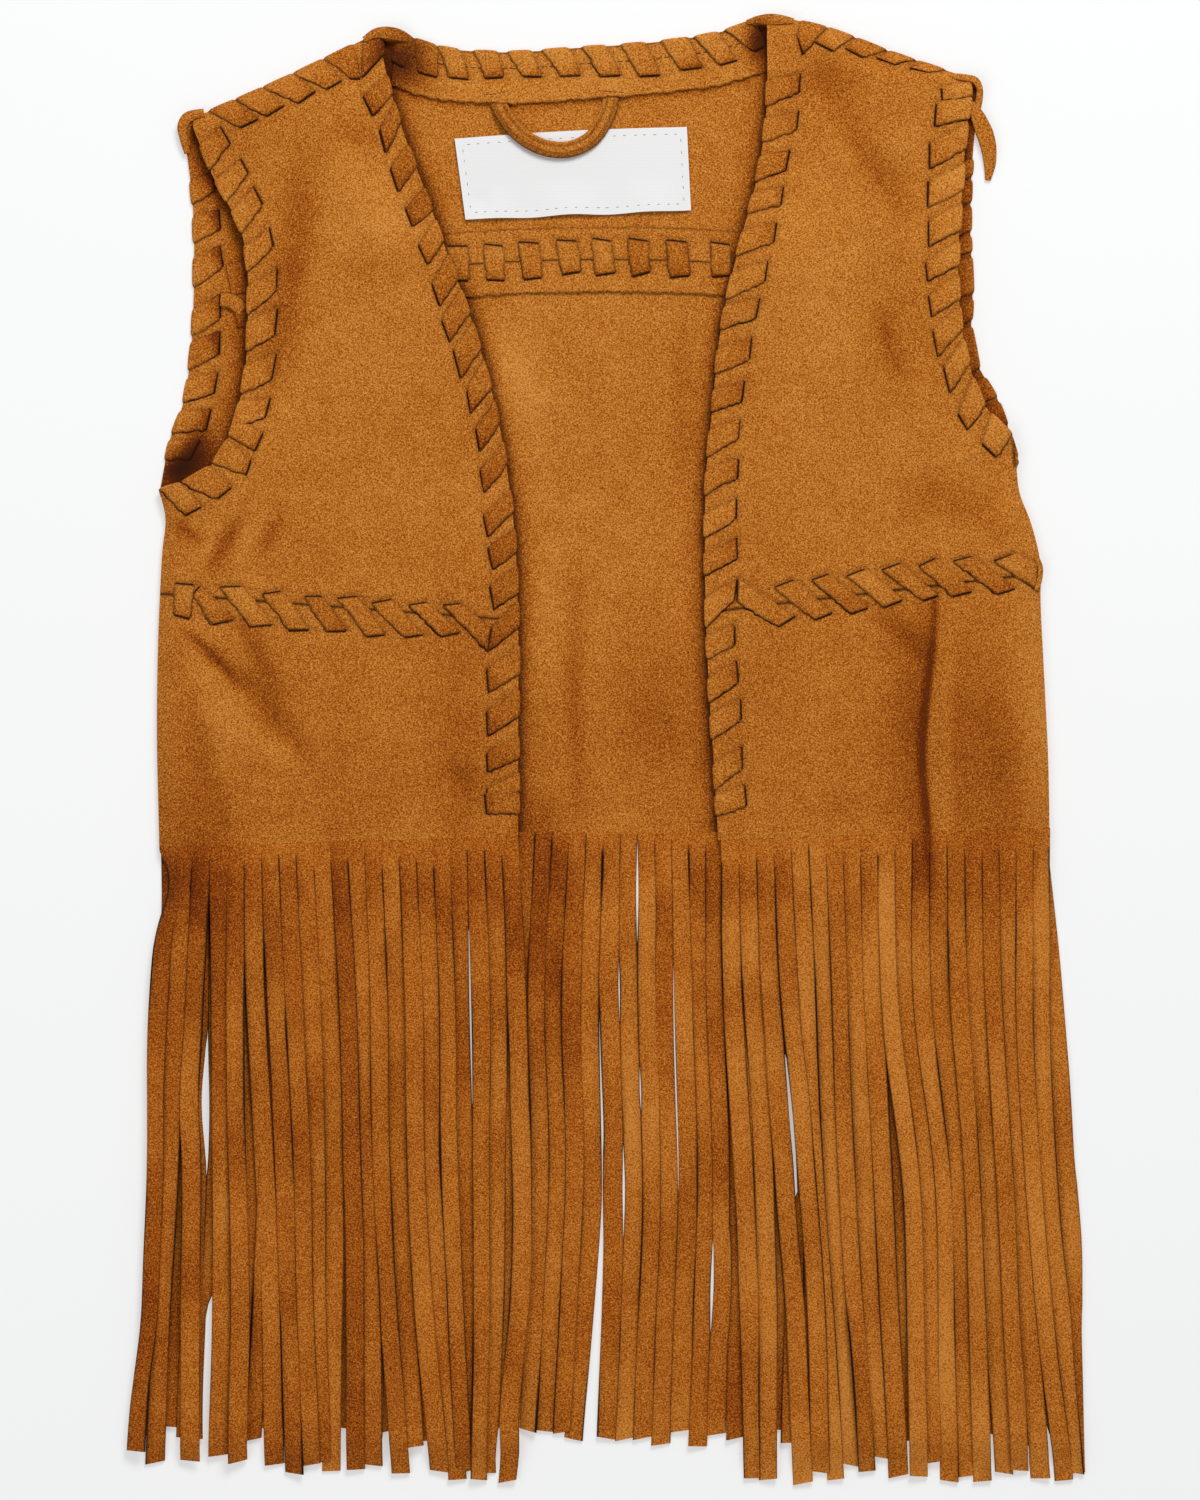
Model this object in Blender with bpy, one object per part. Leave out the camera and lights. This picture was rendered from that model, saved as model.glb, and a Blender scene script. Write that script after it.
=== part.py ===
"""Fringed suede-cloth vest in a small child's size, laid flat on its back with the front open.

In plan, x runs across the vest and h runs up it from the hem line. z is the height above the
table. All are millimetres until place() turns them into metres about the vest's origin.
"""
import math
from collections import namedtuple

import bmesh
import bpy
import numpy as np

MM = 0.001
ORIGIN_H = 34.3

# Walls, and the air between one layer and the next
CLOTH = 1.2
TRIM = 0.8
LACE = 0.8
LABEL = 0.5
SEAM_GAP = 0.3
LACE_GAP = 0.5
WRAP = LACE + LACE_GAP

# Lacing: a flat thong whipped over an edge, or across a seam. A bar takes this share of its pitch.
BAR_SHARE = 0.64
BAR_REACH = 10.5
BAR_STEPS = (0.35, 0.7, 1.0)
SEAM_BAR_REACH = 6.0
SEAM_BAR_STEPS = (0.55, 1.0)
STRIP_REACH = 3.0
STRIP_HALF = 1.0

# Heights of a front's underside: folded edges lie on the back, laced ones on what is below them
ON_BACK = CLOTH + SEAM_GAP
ON_TRIM = ON_BACK + TRIM + SEAM_GAP
FOLD = ON_BACK
LOW = ON_BACK + WRAP
HIGH = ON_TRIM + WRAP
OVER = HIGH + WRAP
UNDERARM = 5.0
LIFTED = 7.0
MIDDLE = 5.4
ROLL_RUN = 11.0
LACED_FLAT = 11.0
LACED_RUN = 16.0

Point = namedtuple("Point", "x h z")
Cut = namedtuple("Cut", "turn side armhole shoulder opening back_armhole "
                        "yoke_outer yoke_inner hem_outer hem_inner")
Fold = namedtuple("Fold", "x0 h0 x1 h1 width rise")
Lacing = namedtuple("Lacing", "start stop count slant")
Fringe = namedtuple("Fringe", "root_left root_right root_h_left root_h_right "
                              "tip_left tip_right tip_h_left tip_h_right count")

# Outlines from the hem upwards, with the height of the cloth's underside at each point. Laced edges
# are given as the lace's outline, and the cloth's own edge lies a wrap inside it. turn is 1 where the
# cloth lies to the right of its rising outer edge.
LEFT = Cut(
    turn=1,
    side=(
        Point(-151.8, -2.0, FOLD), Point(-152.7, 45.0, FOLD), Point(-151.6, 88.0, FOLD),
        Point(-150.8, 102.0, FOLD), Point(-149.8, 113.0, FOLD), Point(-151.6, 121.2, LOW),
    ),
    armhole=(
        Point(-151.8, 123.0, LOW), Point(-144.5, 125.1, UNDERARM), Point(-134.8, 130.6, LIFTED),
        Point(-129.4, 138.7, LIFTED), Point(-124.1, 156.7, OVER), Point(-122.2, 182.0, OVER),
        Point(-124.1, 208.4, OVER), Point(-134.5, 229.2, HIGH), Point(-141.8, 247.6, HIGH),
    ),
    shoulder=(Point(-112.0, 261.6, FOLD),),
    opening=(
        Point(-29.4, -2.0, LOW), Point(-29.4, 40.0, LOW), Point(-29.4, 78.0, LOW),
        Point(-31.1, 112.2, LOW), Point(-36.2, 146.2, LOW), Point(-42.8, 172.0, HIGH),
        Point(-46.9, 185.0, OVER), Point(-54.0, 204.0, OVER), Point(-60.0, 221.0, HIGH),
        Point(-71.9, 255.0, HIGH), Point(-77.2, 278.0, HIGH),
    ),
    back_armhole=(
        Point(-152.2, 123.0, 0.0), Point(-148.4, 141.4, 0.0), Point(-144.7, 151.0, 0.0),
        Point(-142.0, 168.3, 0.0), Point(-140.8, 195.0, 0.0), Point(-141.3, 220.0, 0.0),
        Point(-143.0, 234.9, 0.0), Point(-145.4, 246.6, 0.0),
    ),
    yoke_outer=86.9, yoke_inner=77.9, hem_outer=0.9, hem_inner=4.7,
)
RIGHT = Cut(
    turn=-1,
    side=(
        Point(150.6, -2.0, FOLD), Point(150.0, 31.0, FOLD), Point(148.4, 64.0, FOLD),
        Point(147.4, 86.0, FOLD), Point(147.4, 97.0, FOLD), Point(144.0, 111.5, FOLD),
        Point(140.1, 122.1, FOLD), Point(139.2, 129.5, LOW),
    ),
    armhole=(
        Point(140.4, 134.5, LOW), Point(137.8, 142.0, HIGH), Point(129.7, 149.9, HIGH),
        Point(123.1, 166.9, OVER), Point(120.0, 190.0, OVER), Point(120.0, 204.0, OVER),
        Point(121.2, 222.0, HIGH), Point(122.6, 242.1, HIGH), Point(125.2, 261.4, HIGH),
    ),
    shoulder=(Point(95.0, 272.2, FOLD), Point(75.3, 279.8, FOLD), Point(62.7, 282.8, FOLD)),
    opening=(
        Point(37.6, -2.0, LOW), Point(36.4, 20.4, LOW), Point(34.2, 55.0, LOW),
        Point(32.8, 101.7, LOW), Point(33.4, 130.0, LOW), Point(35.2, 148.6, LOW),
        Point(38.4, 178.0, HIGH), Point(41.0, 191.0, OVER), Point(44.6, 206.0, OVER),
        Point(49.5, 224.0, HIGH), Point(53.2, 246.0, HIGH), Point(53.9, 284.4, HIGH),
    ),
    back_armhole=(
        Point(140.8, 132.0, 0.0), Point(133.0, 154.4, 0.0), Point(126.4, 166.0, 0.0),
        Point(124.6, 178.0, 0.0), Point(125.1, 190.0, 0.0), Point(124.3, 208.0, 0.0),
        Point(124.5, 226.4, 0.0), Point(125.4, 240.0, 0.0), Point(128.0, 260.8, 0.0),
    ),
    yoke_outer=93.8, yoke_inner=80.6, hem_outer=7.7, hem_inner=3.3,
)
NECK = (
    Point(-77.2, 278.4, 0.0), Point(-69.0, 277.4, 0.0), Point(-58.0, 273.7, 0.0),
    Point(-38.3, 271.7, 0.0), Point(-9.0, 273.2, 0.0), Point(19.2, 275.4, 0.0),
    Point(35.5, 277.8, 0.0), Point(46.4, 281.0, 0.0), Point(53.9, 284.6, 0.0),
)
# The back yoke's seam sinks from its middle towards the armholes
BACK_SEAM_H = 200.6
BACK_SEAM_DROP = 15.0
BACK_SEAM_HALF = 141.0
BACK_HEM_H = 6.0

# Main folds: a ridge or, with a negative rise, a trough from one point in plan to another
LEFT_FOLDS = (
    Fold(-146.0, 74.0, -122.0, 46.0, 7.0, -1.3),
    Fold(-138.0, 66.0, -124.0, 12.0, 8.0, 1.2),
    Fold(-128.0, 116.0, -112.0, 98.0, 6.0, -1.2),
    Fold(-104.0, 222.0, -112.0, 180.0, 14.0, 1.0),
    Fold(-70.0, 62.0, -62.0, 14.0, 16.0, 0.8),
)
RIGHT_FOLDS = (
    Fold(108.0, 70.0, 107.0, 10.0, 5.0, -2.0),
    Fold(117.0, 72.0, 116.0, 10.0, 7.0, 1.6),
    Fold(72.0, 252.0, 98.0, 204.0, 11.0, 1.4),
    Fold(62.0, 226.0, 84.0, 190.0, 9.0, -1.0),
    Fold(66.0, 62.0, 70.0, 14.0, 15.0, 0.9),
)

# Lacing along each line: clear ends, bars, and how far a bar's inner end runs ahead along the line
OPENING_LACE = {"left": Lacing(12.0, 17.0, 20, -5.5), "right": Lacing(12.0, 17.0, 20, 5.5)}
ARMHOLE_LACE = {"left": Lacing(4.0, 14.0, 11, 5.0), "right": Lacing(7.0, 14.0, 9, -5.0)}
SHOULDER_LACE = {"left": Lacing(4.0, 4.0, 6, 5.0), "right": Lacing(4.0, 4.0, 6, 5.0)}
BACK_ARMHOLE_LACE = {"left": Lacing(14.0, 6.0, 9, 5.0), "right": Lacing(14.0, 6.0, 9, -5.0)}
NECK_LACE = Lacing(9.0, 8.0, 10, 5.4)
YOKE_LACE = {"left": Lacing(9.0, 16.0, 8, 9.6), "right": Lacing(16.0, 4.0, 8, 11.0)}
BACK_YOKE_LACE = Lacing(15.0, 13.0, 19, 1.9)

# Fringe: strands on a strip below each hem, which fan out to their tips and sway a little together
FRINGE_CLOTH = 1.0
FRINGE_STRIP = 3.0
STRAND_GAP = 0.8
FRINGE_LEVEL = {"back": 0.1, "left_front": 1.6, "right_front": 1.6}
FRINGES = {
    "back": Fringe(-150.8, 149.2, 2.7, 2.7, -151.5, 150.0, -199.0, -200.5, 49),
    "left_front": Fringe(-150.6, -30.9, -2.4, 1.4, -162.6, -32.0, -206.0, -214.5, 20),
    "right_front": Fringe(39.2, 149.6, 0.0, 4.4, 52.5, 162.6, -214.5, -213.0, 19),
}
STRAND_STATIONS = (0.1, 0.36, 0.7, 1.0)
STRAND_SWAY = 1.5
SWAY_TURN = 1.6 * math.pi
SWAY_SHIFT = 5.0
STRAND_RAGGED = 2.2
RAGGED_TURNS = (2.4, 0.9)

# Flat trims inside the back
FACING_TOP = 0.3
FACING_DEPTH = 17.5
FACING_ENDS = (6.5, 4.5)
TURNBACK_DEPTH = 11.0
TURNBACK_ENDS = (13.5, 13.0)

LABEL_CENTRE = (-10.9, 229.7)
LABEL_SIZE = (79.0, 28.0)
LABEL_TILT = math.radians(2.9)

# The hang loop is a sewn tube, and the lace's loose end a flat strip that narrows to its cut tip
LOOP_ROUTE = (
    Point(-37.2, 251.6, 1.6), Point(-33.0, 246.2, 2.4), Point(-26.0, 239.8, 2.4),
    Point(-14.5, 237.4, 2.4), Point(-5.0, 242.6, 2.4), Point(0.2, 251.4, 1.6),
)
LOOP_WIDTH = 5.0
LOOP_HEIGHT = 2.6
LOOP_SIDES = 8
LOOP_STATIONS = 17

TAIL_ROUTE = (
    Point(129.2, 250.0, 0.2), Point(130.2, 243.0, 0.2), Point(131.2, 236.0, 0.2),
    Point(131.0, 231.0, 0.2), Point(129.8, 226.4, 0.2),
)
TAIL_WIDTHS = (4.2, 4.2, 3.2)
TAIL_STATIONS = 9

# Grids: shares of a panel's width where its columns lie, closer near the edges, and rows
YOKE_ACROSS = (0.0, 0.03, 0.075, 0.14, 0.22, 0.32, 0.42, 0.52, 0.62, 0.72, 0.81, 0.89, 0.95, 1.0)
BODY_ACROSS = (0.0, 0.03, 0.07, 0.12, 0.18, 0.25, 0.32, 0.4, 0.48, 0.57, 0.66, 0.76, 0.86, 0.94, 1.0)
BODY_ROWS = 9
YOKE_ROWS_TO_UNDERARM = 4
YOKE_ROWS_ABOVE = 16
BACK_BODY_ROWS = 17
BACK_BODY_COLUMNS = 12
BACK_YOKE_ROWS = 8
LEFT_SHOULDER_COLUMNS = 4
NECK_COLUMNS = 14
RIGHT_SHOULDER_COLUMNS = 5
STRIP_STATIONS = 25
SEAM_STATIONS = 41
SHARP_EDGE = math.radians(40)

# Colours as sRGB
SUEDE_LIGHT = (181, 110, 39)
SUEDE_BODY = (169, 100, 32)
SUEDE_FRINGE = (156, 88, 29)
SUEDE_LACE = (188, 117, 45)
LABEL_WHITE = (240, 238, 238)
SUEDE_ROUGHNESS = 0.9


def place(x, h, z):
    return (x * MM, (h - ORIGIN_H) * MM, z * MM)


def linear(channel):
    value = channel / 255
    return value / 12.92 if value <= 0.04045 else ((value + 0.055) / 1.055) ** 2.4


def add_object(name, bm, colour):
    bmesh.ops.recalc_face_normals(bm, faces=bm.faces[:])
    mesh = bpy.data.meshes.new(name)
    bm.to_mesh(mesh)
    bm.free()
    material = bpy.data.materials.new(name)
    material.use_nodes = True
    shader = material.node_tree.nodes["Principled BSDF"]
    shader.inputs["Base Color"].default_value = (*[linear(c) for c in colour], 1.0)
    shader.inputs["Roughness"].default_value = SUEDE_ROUGHNESS
    shader.inputs["Metallic"].default_value = 0.0
    mesh.materials.append(material)
    mesh.shade_smooth()
    mesh.set_sharp_from_angle(angle=SHARP_EDGE)
    bpy.context.collection.objects.link(bpy.data.objects.new(name, mesh))


# Lines in plan: arrays of rows x, h, z

def smooth(points, step=2.5):
    """A curve through the points, as a line with a row about every step."""
    rows = np.array(points, float)
    runs = np.linalg.norm(np.diff(rows[:, :2], axis=0), axis=1)
    at = np.concatenate(([0.0], np.cumsum(runs)))
    slopes = np.gradient(rows, at, axis=0)
    wanted = np.linspace(0.0, at[-1], max(2, int(at[-1] / step) + 1))
    span = np.clip(np.searchsorted(at, wanted, side="right") - 1, 0, len(at) - 2)
    width = (at[span + 1] - at[span])[:, None]
    t = (wanted - at[span])[:, None] / width
    start, end = rows[span], rows[span + 1]
    return (start * (2 * t ** 3 - 3 * t ** 2 + 1) + slopes[span] * width * (t ** 3 - 2 * t ** 2 + t)
            + end * (3 * t ** 2 - 2 * t ** 3) + slopes[span + 1] * width * (t ** 3 - t ** 2))


def lengths(line):
    steps = np.linalg.norm(np.diff(line[:, :2], axis=0), axis=1)
    return np.concatenate(([0.0], np.cumsum(steps)))


def along(line, distance):
    """The row of x, h, z at a distance along the line."""
    at = lengths(line)
    return np.array([np.interp(distance, at, line[:, column]) for column in range(line.shape[1])])


def left_normal(line, distance):
    """The unit direction to the left of the line's own, at a distance along it."""
    before, after = along(line, distance - 1.0), along(line, distance + 1.0)
    run = (after - before)[:2]
    return np.array([-run[1], run[0]]) / np.linalg.norm(run)


def inset(line, distance):
    """The line moved to the right of its own direction."""
    moved = line.copy()
    at = lengths(line)
    for row, place_on_line in enumerate(at):
        moved[row, :2] -= left_normal(line, place_on_line) * distance
    return moved


def above(line, h):
    """The part of a rising line that lies above h."""
    first = int(np.argmax(line[:, 1] > h))
    low, high = line[first - 1], line[first]
    start = low + (high - low) * (h - low[1]) / (high[1] - low[1])
    return np.vstack([start, line[first:]])


def below(line, h):
    """The part of a rising line that lies below h."""
    first = int(np.argmax(line[:, 1] > h))
    low, high = line[first - 1], line[first]
    end = low + (high - low) * (h - low[1]) / (high[1] - low[1])
    return np.vstack([line[:first], end])


def nearest(line, x, h):
    """Distance from a point in plan to a line, and the line's height there."""
    start, run = line[:-1], np.diff(line, axis=0)
    length2 = np.maximum((run[:, :2] ** 2).sum(axis=1), 1e-9)
    offset = np.array([x, h]) - start[:, :2]
    share = np.clip((offset * run[:, :2]).sum(axis=1) / length2, 0.0, 1.0)
    foot = start + run * share[:, None]
    gap = np.hypot(foot[:, 0] - x, foot[:, 1] - h)
    best = int(np.argmin(gap))
    return gap[best], foot[best, 2]


def ease(value):
    t = min(max(value, 0.0), 1.0)
    return t * t * (3.0 - 2.0 * t)


# Edges of the cloth

def back_lines():
    left = inset(smooth(LEFT.back_armhole), WRAP)
    right = inset(smooth(RIGHT.back_armhole), -WRAP)
    neck = inset(smooth(NECK), WRAP)

    def shoulder(cut, tip, corner):
        middle = [(p.x, p.h - WRAP, FOLD) for p in cut.shoulder]
        return smooth([(tip[0], tip[1], FOLD), *middle, (corner[0], corner[1], FOLD)])

    return {"left": left, "right": right, "neck": neck,
            "left_shoulder": shoulder(LEFT, left[-1], neck[0]),
            "right_shoulder": shoulder(RIGHT, right[-1], neck[-1])}


def front_lines(cut, back_shoulder):
    """The four edges of one front. Its shoulder lies on the back's, from the front's own tip."""
    armhole = inset(smooth(cut.armhole), cut.turn * WRAP)
    opening = inset(smooth(cut.opening), -cut.turn * WRAP)
    past_tip = (back_shoulder[:, 0] - armhole[-1, 0]) * cut.turn > 0
    shoulder = back_shoulder[past_tip]
    armhole[-1, :2], opening[-1, :2] = shoulder[0, :2], shoulder[-1, :2]
    return {"side": smooth(cut.side), "armhole": armhole, "shoulder": shoulder, "opening": opening}


BACK = back_lines()
FRONT = {"left": front_lines(LEFT, BACK["left_shoulder"]),
         "right": front_lines(RIGHT, BACK["right_shoulder"])}
FOLDS = {"left": LEFT_FOLDS, "right": RIGHT_FOLDS}


def front_height(side, x, h):
    """Height of a front's underside: level in the middle, down at rolled edges, flat under lace."""
    drop, rise, free = 0.0, 0.0, 1.0
    for edge, line in FRONT[side].items():
        distance, z = nearest(line, x, h)
        if edge in ("side", "shoulder"):
            hold = max(0.0, 1.0 - distance / ROLL_RUN) ** 2
        else:
            hold = 1.0 - ease((distance - LACED_FLAT) / LACED_RUN)
        drop = max(drop, (MIDDLE - z) * hold)
        rise = max(rise, (z - MIDDLE) * hold)
        free = min(free, ease(distance / (LACED_FLAT + LACED_RUN)))
    folds = 0.0
    for fold in FOLDS[side]:
        line = np.array([(fold.x0, fold.h0, 0.0), (fold.x1, fold.h1, 0.0)])
        distance, _ = nearest(line, x, h)
        folds += fold.rise * math.exp(-(distance / fold.width) ** 2)
    return MIDDLE - drop + rise + folds * free


# Panels: a sheet between four edges, with its wall raised straight up from its underside

def patch(outer, inner, low, high, across, up):
    """Rows of x, h points blended between four edge lines, at shares across and up the panel."""
    def at(line, share):
        return along(line, share * lengths(line)[-1])[:2]

    corner = {(0, 0): outer[0, :2], (1, 0): inner[0, :2], (0, 1): outer[-1, :2], (1, 1): inner[-1, :2]}
    grid = []
    for v in up:
        row = []
        for u in across:
            sides = (1 - u) * at(outer, v) + u * at(inner, v)
            ends = (1 - v) * at(low, u) + v * at(high, u)
            ruled = ((1 - u) * (1 - v) * corner[0, 0] + u * (1 - v) * corner[1, 0]
                     + (1 - u) * v * corner[0, 1] + u * v * corner[1, 1])
            row.append(sides + ends - ruled)
        grid.append(row)
    return grid


def wall(name, grid, underside, thickness, colour):
    """A closed cloth wall: the grid at its underside's height, and again a thickness higher."""
    bm = bmesh.new()
    rows = [[bm.verts.new(place(x, h, underside(x, h))) for x, h in row] for row in grid]
    for lower, upper in zip(rows, rows[1:]):
        for a, b, c, d in zip(lower, lower[1:], upper[1:], upper):
            bm.faces.new((a, b, c, d))
    bmesh.ops.triangulate(bm, faces=bm.faces[:], quad_method="SHORT_EDGE")
    raised = bmesh.ops.extrude_face_region(bm, geom=bm.faces[:])["geom"]
    raised_verts = [part for part in raised if isinstance(part, bmesh.types.BMVert)]
    bmesh.ops.translate(bm, verts=raised_verts, vec=(0.0, 0.0, thickness * MM))
    add_object(name, bm, colour)


def straight(start, end):
    return np.array([start, end], float)


def front_panels(side, cut):
    lines = FRONT[side]
    outer = np.vstack([lines["side"], lines["armhole"]])
    inner = lines["opening"]
    half = SEAM_GAP / 2

    def underside(x, h):
        return front_height(side, x, h)

    body_outer = below(above(outer, cut.hem_outer), cut.yoke_outer - half)
    body_inner = below(above(inner, cut.hem_inner), cut.yoke_inner - half)
    grid = patch(body_outer, body_inner, straight(body_outer[0], body_inner[0]),
                 straight(body_outer[-1], body_inner[-1]), BODY_ACROSS, np.linspace(0, 1, BODY_ROWS + 1))
    wall(f"{side}_front_body", grid, underside, CLOTH, SUEDE_BODY)

    yoke_outer = above(outer, cut.yoke_outer + half)
    yoke_inner = above(inner, cut.yoke_inner + half)
    to_underarm = lengths(above(lines["side"], cut.yoke_outer + half))[-1] / lengths(yoke_outer)[-1]
    up = np.concatenate([np.linspace(0, to_underarm, YOKE_ROWS_TO_UNDERARM, endpoint=False),
                         np.linspace(to_underarm, 1, YOKE_ROWS_ABOVE + 1)])
    grid = patch(yoke_outer, yoke_inner, straight(yoke_outer[0], yoke_inner[0]), lines["shoulder"],
                 YOKE_ACROSS, up)
    wall(f"{side}_front_yoke", grid, underside, CLOTH, SUEDE_LIGHT)


def back_seam_h(x):
    return BACK_SEAM_H - BACK_SEAM_DROP * (x / BACK_SEAM_HALF) ** 2


def back_seam(offset=0.0):
    """The back yoke's seam from armhole to armhole, or a line beside it."""
    left, right = [BACK[side][len(BACK[side]) // 2, 0] for side in ("left", "right")]
    x = np.linspace(left, right, SEAM_STATIONS)
    return np.stack([x, back_seam_h(x) + offset, np.zeros_like(x)], axis=1)


def back_panels():
    left = np.vstack([smooth(LEFT.side), BACK["left"]])
    right = np.vstack([smooth(RIGHT.side), BACK["right"]])
    seam = back_seam(-SEAM_GAP / 2)
    body_left = np.vstack([below(above(left, BACK_HEM_H), seam[0, 1])[:-1], seam[0]])
    body_right = np.vstack([below(above(right, BACK_HEM_H), seam[-1, 1])[:-1], seam[-1]])
    grid = patch(body_left, body_right, straight(body_left[0], body_right[0]), seam,
                 np.linspace(0, 1, BACK_BODY_COLUMNS + 1), np.linspace(0, 1, BACK_BODY_ROWS + 1))
    wall("back_body", grid, lambda x, h: 0.0, CLOTH, SUEDE_LIGHT)

    seam = back_seam(SEAM_GAP / 2)
    yoke_left = np.vstack([seam[0], above(BACK["left"], seam[0, 1])[1:]])
    yoke_right = np.vstack([seam[-1], above(BACK["right"], seam[-1, 1])[1:]])
    top = [BACK["left_shoulder"], BACK["neck"][1:], BACK["right_shoulder"][::-1][1:]]
    ends = [lengths(np.vstack(top[:count]))[-1] for count in (1, 2, 3)]
    corners = np.array(ends) / ends[-1]
    across = np.concatenate([np.linspace(0, corners[0], LEFT_SHOULDER_COLUMNS, endpoint=False),
                             np.linspace(corners[0], corners[1], NECK_COLUMNS, endpoint=False),
                             np.linspace(corners[1], 1, RIGHT_SHOULDER_COLUMNS + 1)])
    grid = patch(yoke_left, yoke_right, seam, np.vstack(top), across, np.linspace(0, 1, BACK_YOKE_ROWS + 1))
    wall("back_yoke", grid, lambda x, h: 0.0, CLOTH, SUEDE_LIGHT)


def strip_beside(name, line, ends, near, far):
    """A flat strip lying on the back, between two distances to the right of a line."""
    stations = np.linspace(ends[0], lengths(line)[-1] - ends[1], STRIP_STATIONS)
    grid = [[along(line, s)[:2] - left_normal(line, s) * w for s in stations] for w in (near, far)]
    wall(name, grid, lambda x, h: ON_BACK, TRIM, SUEDE_LIGHT)


def label():
    half_w, half_h = LABEL_SIZE[0] / 2, LABEL_SIZE[1] / 2
    turn = np.array([[math.cos(LABEL_TILT), -math.sin(LABEL_TILT)],
                     [math.sin(LABEL_TILT), math.cos(LABEL_TILT)]])
    grid = [[turn @ np.array([u * half_w, v * half_h]) + LABEL_CENTRE for u in (-1, 0, 1)] for v in (-1, 1)]
    wall("label", grid, lambda x, h: ON_BACK, LABEL, LABEL_WHITE)


# Combs: a swept strip with teeth grown from it, for lace bars and fringe strands

def comb(name, loops, teeth, colour):
    """A strip swept through one loop of points for each station. Cell k lies between loops k and
    k + 1, and teeth gives, for a cell and a side of it, the rings that a tooth grows through."""
    bm = bmesh.new()
    rings = [[bm.verts.new(place(*point)) for point in loop] for loop in loops]
    sides = len(rings[0])
    for cell, (a, b) in enumerate(zip(rings, rings[1:])):
        for side in range(sides):
            other = (side + 1) % sides
            root = (a[side], a[other], b[other], b[side])
            for ring in teeth.get((cell, side), ()):
                tip = [bm.verts.new(place(*point)) for point in ring]
                for k in range(4):
                    bm.faces.new((root[k], root[(k + 1) % 4], tip[(k + 1) % 4], tip[k]))
                root = tip
            bm.faces.new(root)
    bm.faces.new(rings[0])
    bm.faces.new(rings[-1])
    bmesh.ops.triangulate(bm, faces=bm.faces[:])
    add_object(name, bm, colour)


def bar_stations(line, lacing):
    """Where each bar starts and ends along the line."""
    pitch = (lengths(line)[-1] - lacing.start - lacing.stop) / lacing.count
    margin = pitch * (1 - BAR_SHARE) / 2
    starts = [lacing.start + pitch * k for k in range(lacing.count)]
    return [(start + margin, start + pitch - margin) for start in starts]


def edge_lace(name, line, inward, lacing, strip_z, over, tucked):
    """Bars whipped over an edge. Their strip is tucked under the edge, or lies just outside it.
    inward is 1 where the cloth lies to the left of the line. over gives a bar's underside."""
    def at(s, w):
        return along(line, s)[:2] + left_normal(line, s) * inward * w

    def loop(s):
        low = strip_z(*at(s, 0.0))
        inner = STRIP_REACH if tucked else -LACE_GAP
        points = [(-WRAP, low), (inner, low), (inner, low + LACE)]
        if tucked:
            points.append((-LACE_GAP, low + LACE))
        points.append((-WRAP, low + LACE))
        return [(*at(s, w), z) for w, z in points]

    def ring(bar, w_low, w_high, w_surface):
        shift = lacing.slant * max(0.0, w_low) / BAR_REACH
        corners = []
        for s, upper in ((bar[0], False), (bar[0], True), (bar[1], True), (bar[1], False)):
            spot = at(s + shift, w_high if upper else w_low)
            level = over(*at(s + shift, w_surface))
            corners.append((*spot, level + LACE if upper else level))
        return corners

    bars = bar_stations(line, lacing)
    stations = [s for bar in bars for s in bar]
    side = 3 if tucked else 2
    teeth = {}
    for number, bar in enumerate(bars):
        rings = [ring(bar, -LACE_GAP, -WRAP, 0.0)]
        rings += [ring(bar, w, w, w) for w in np.array(BAR_STEPS) * BAR_REACH]
        teeth[2 * number, side] = rings
    comb(name, [loop(s) for s in stations], teeth, SUEDE_LACE)


def seam_lace(name, line, lacing, over):
    """Bars laid across a seam, on a narrow strip that runs along it."""
    def at(s, w):
        spot = along(line, s)[:2] + left_normal(line, s) * w
        return (*spot, over(*spot))

    def raised(point):
        return (point[0], point[1], point[2] + LACE)

    def ring(bar, w):
        shift = -lacing.slant / 2 * w / SEAM_BAR_REACH
        near, far = at(bar[0] + shift, w), at(bar[1] + shift, w)
        if w < 0:
            return (near, raised(near), raised(far), far)
        return (raised(near), near, far, raised(far))

    bars = bar_stations(line, lacing)
    loops = []
    for s in [s for bar in bars for s in bar]:
        lower, upper = at(s, -STRIP_HALF), at(s, STRIP_HALF)
        loops.append((upper, lower, raised(lower), raised(upper)))
    reaches = np.array(SEAM_BAR_STEPS) * SEAM_BAR_REACH
    teeth = {}
    for number, bar in enumerate(bars):
        teeth[2 * number, 1] = [ring(bar, -w) for w in reaches]
        teeth[2 * number, 3] = [ring(bar, w) for w in reaches]
    comb(name, loops, teeth, SUEDE_LACE)


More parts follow.
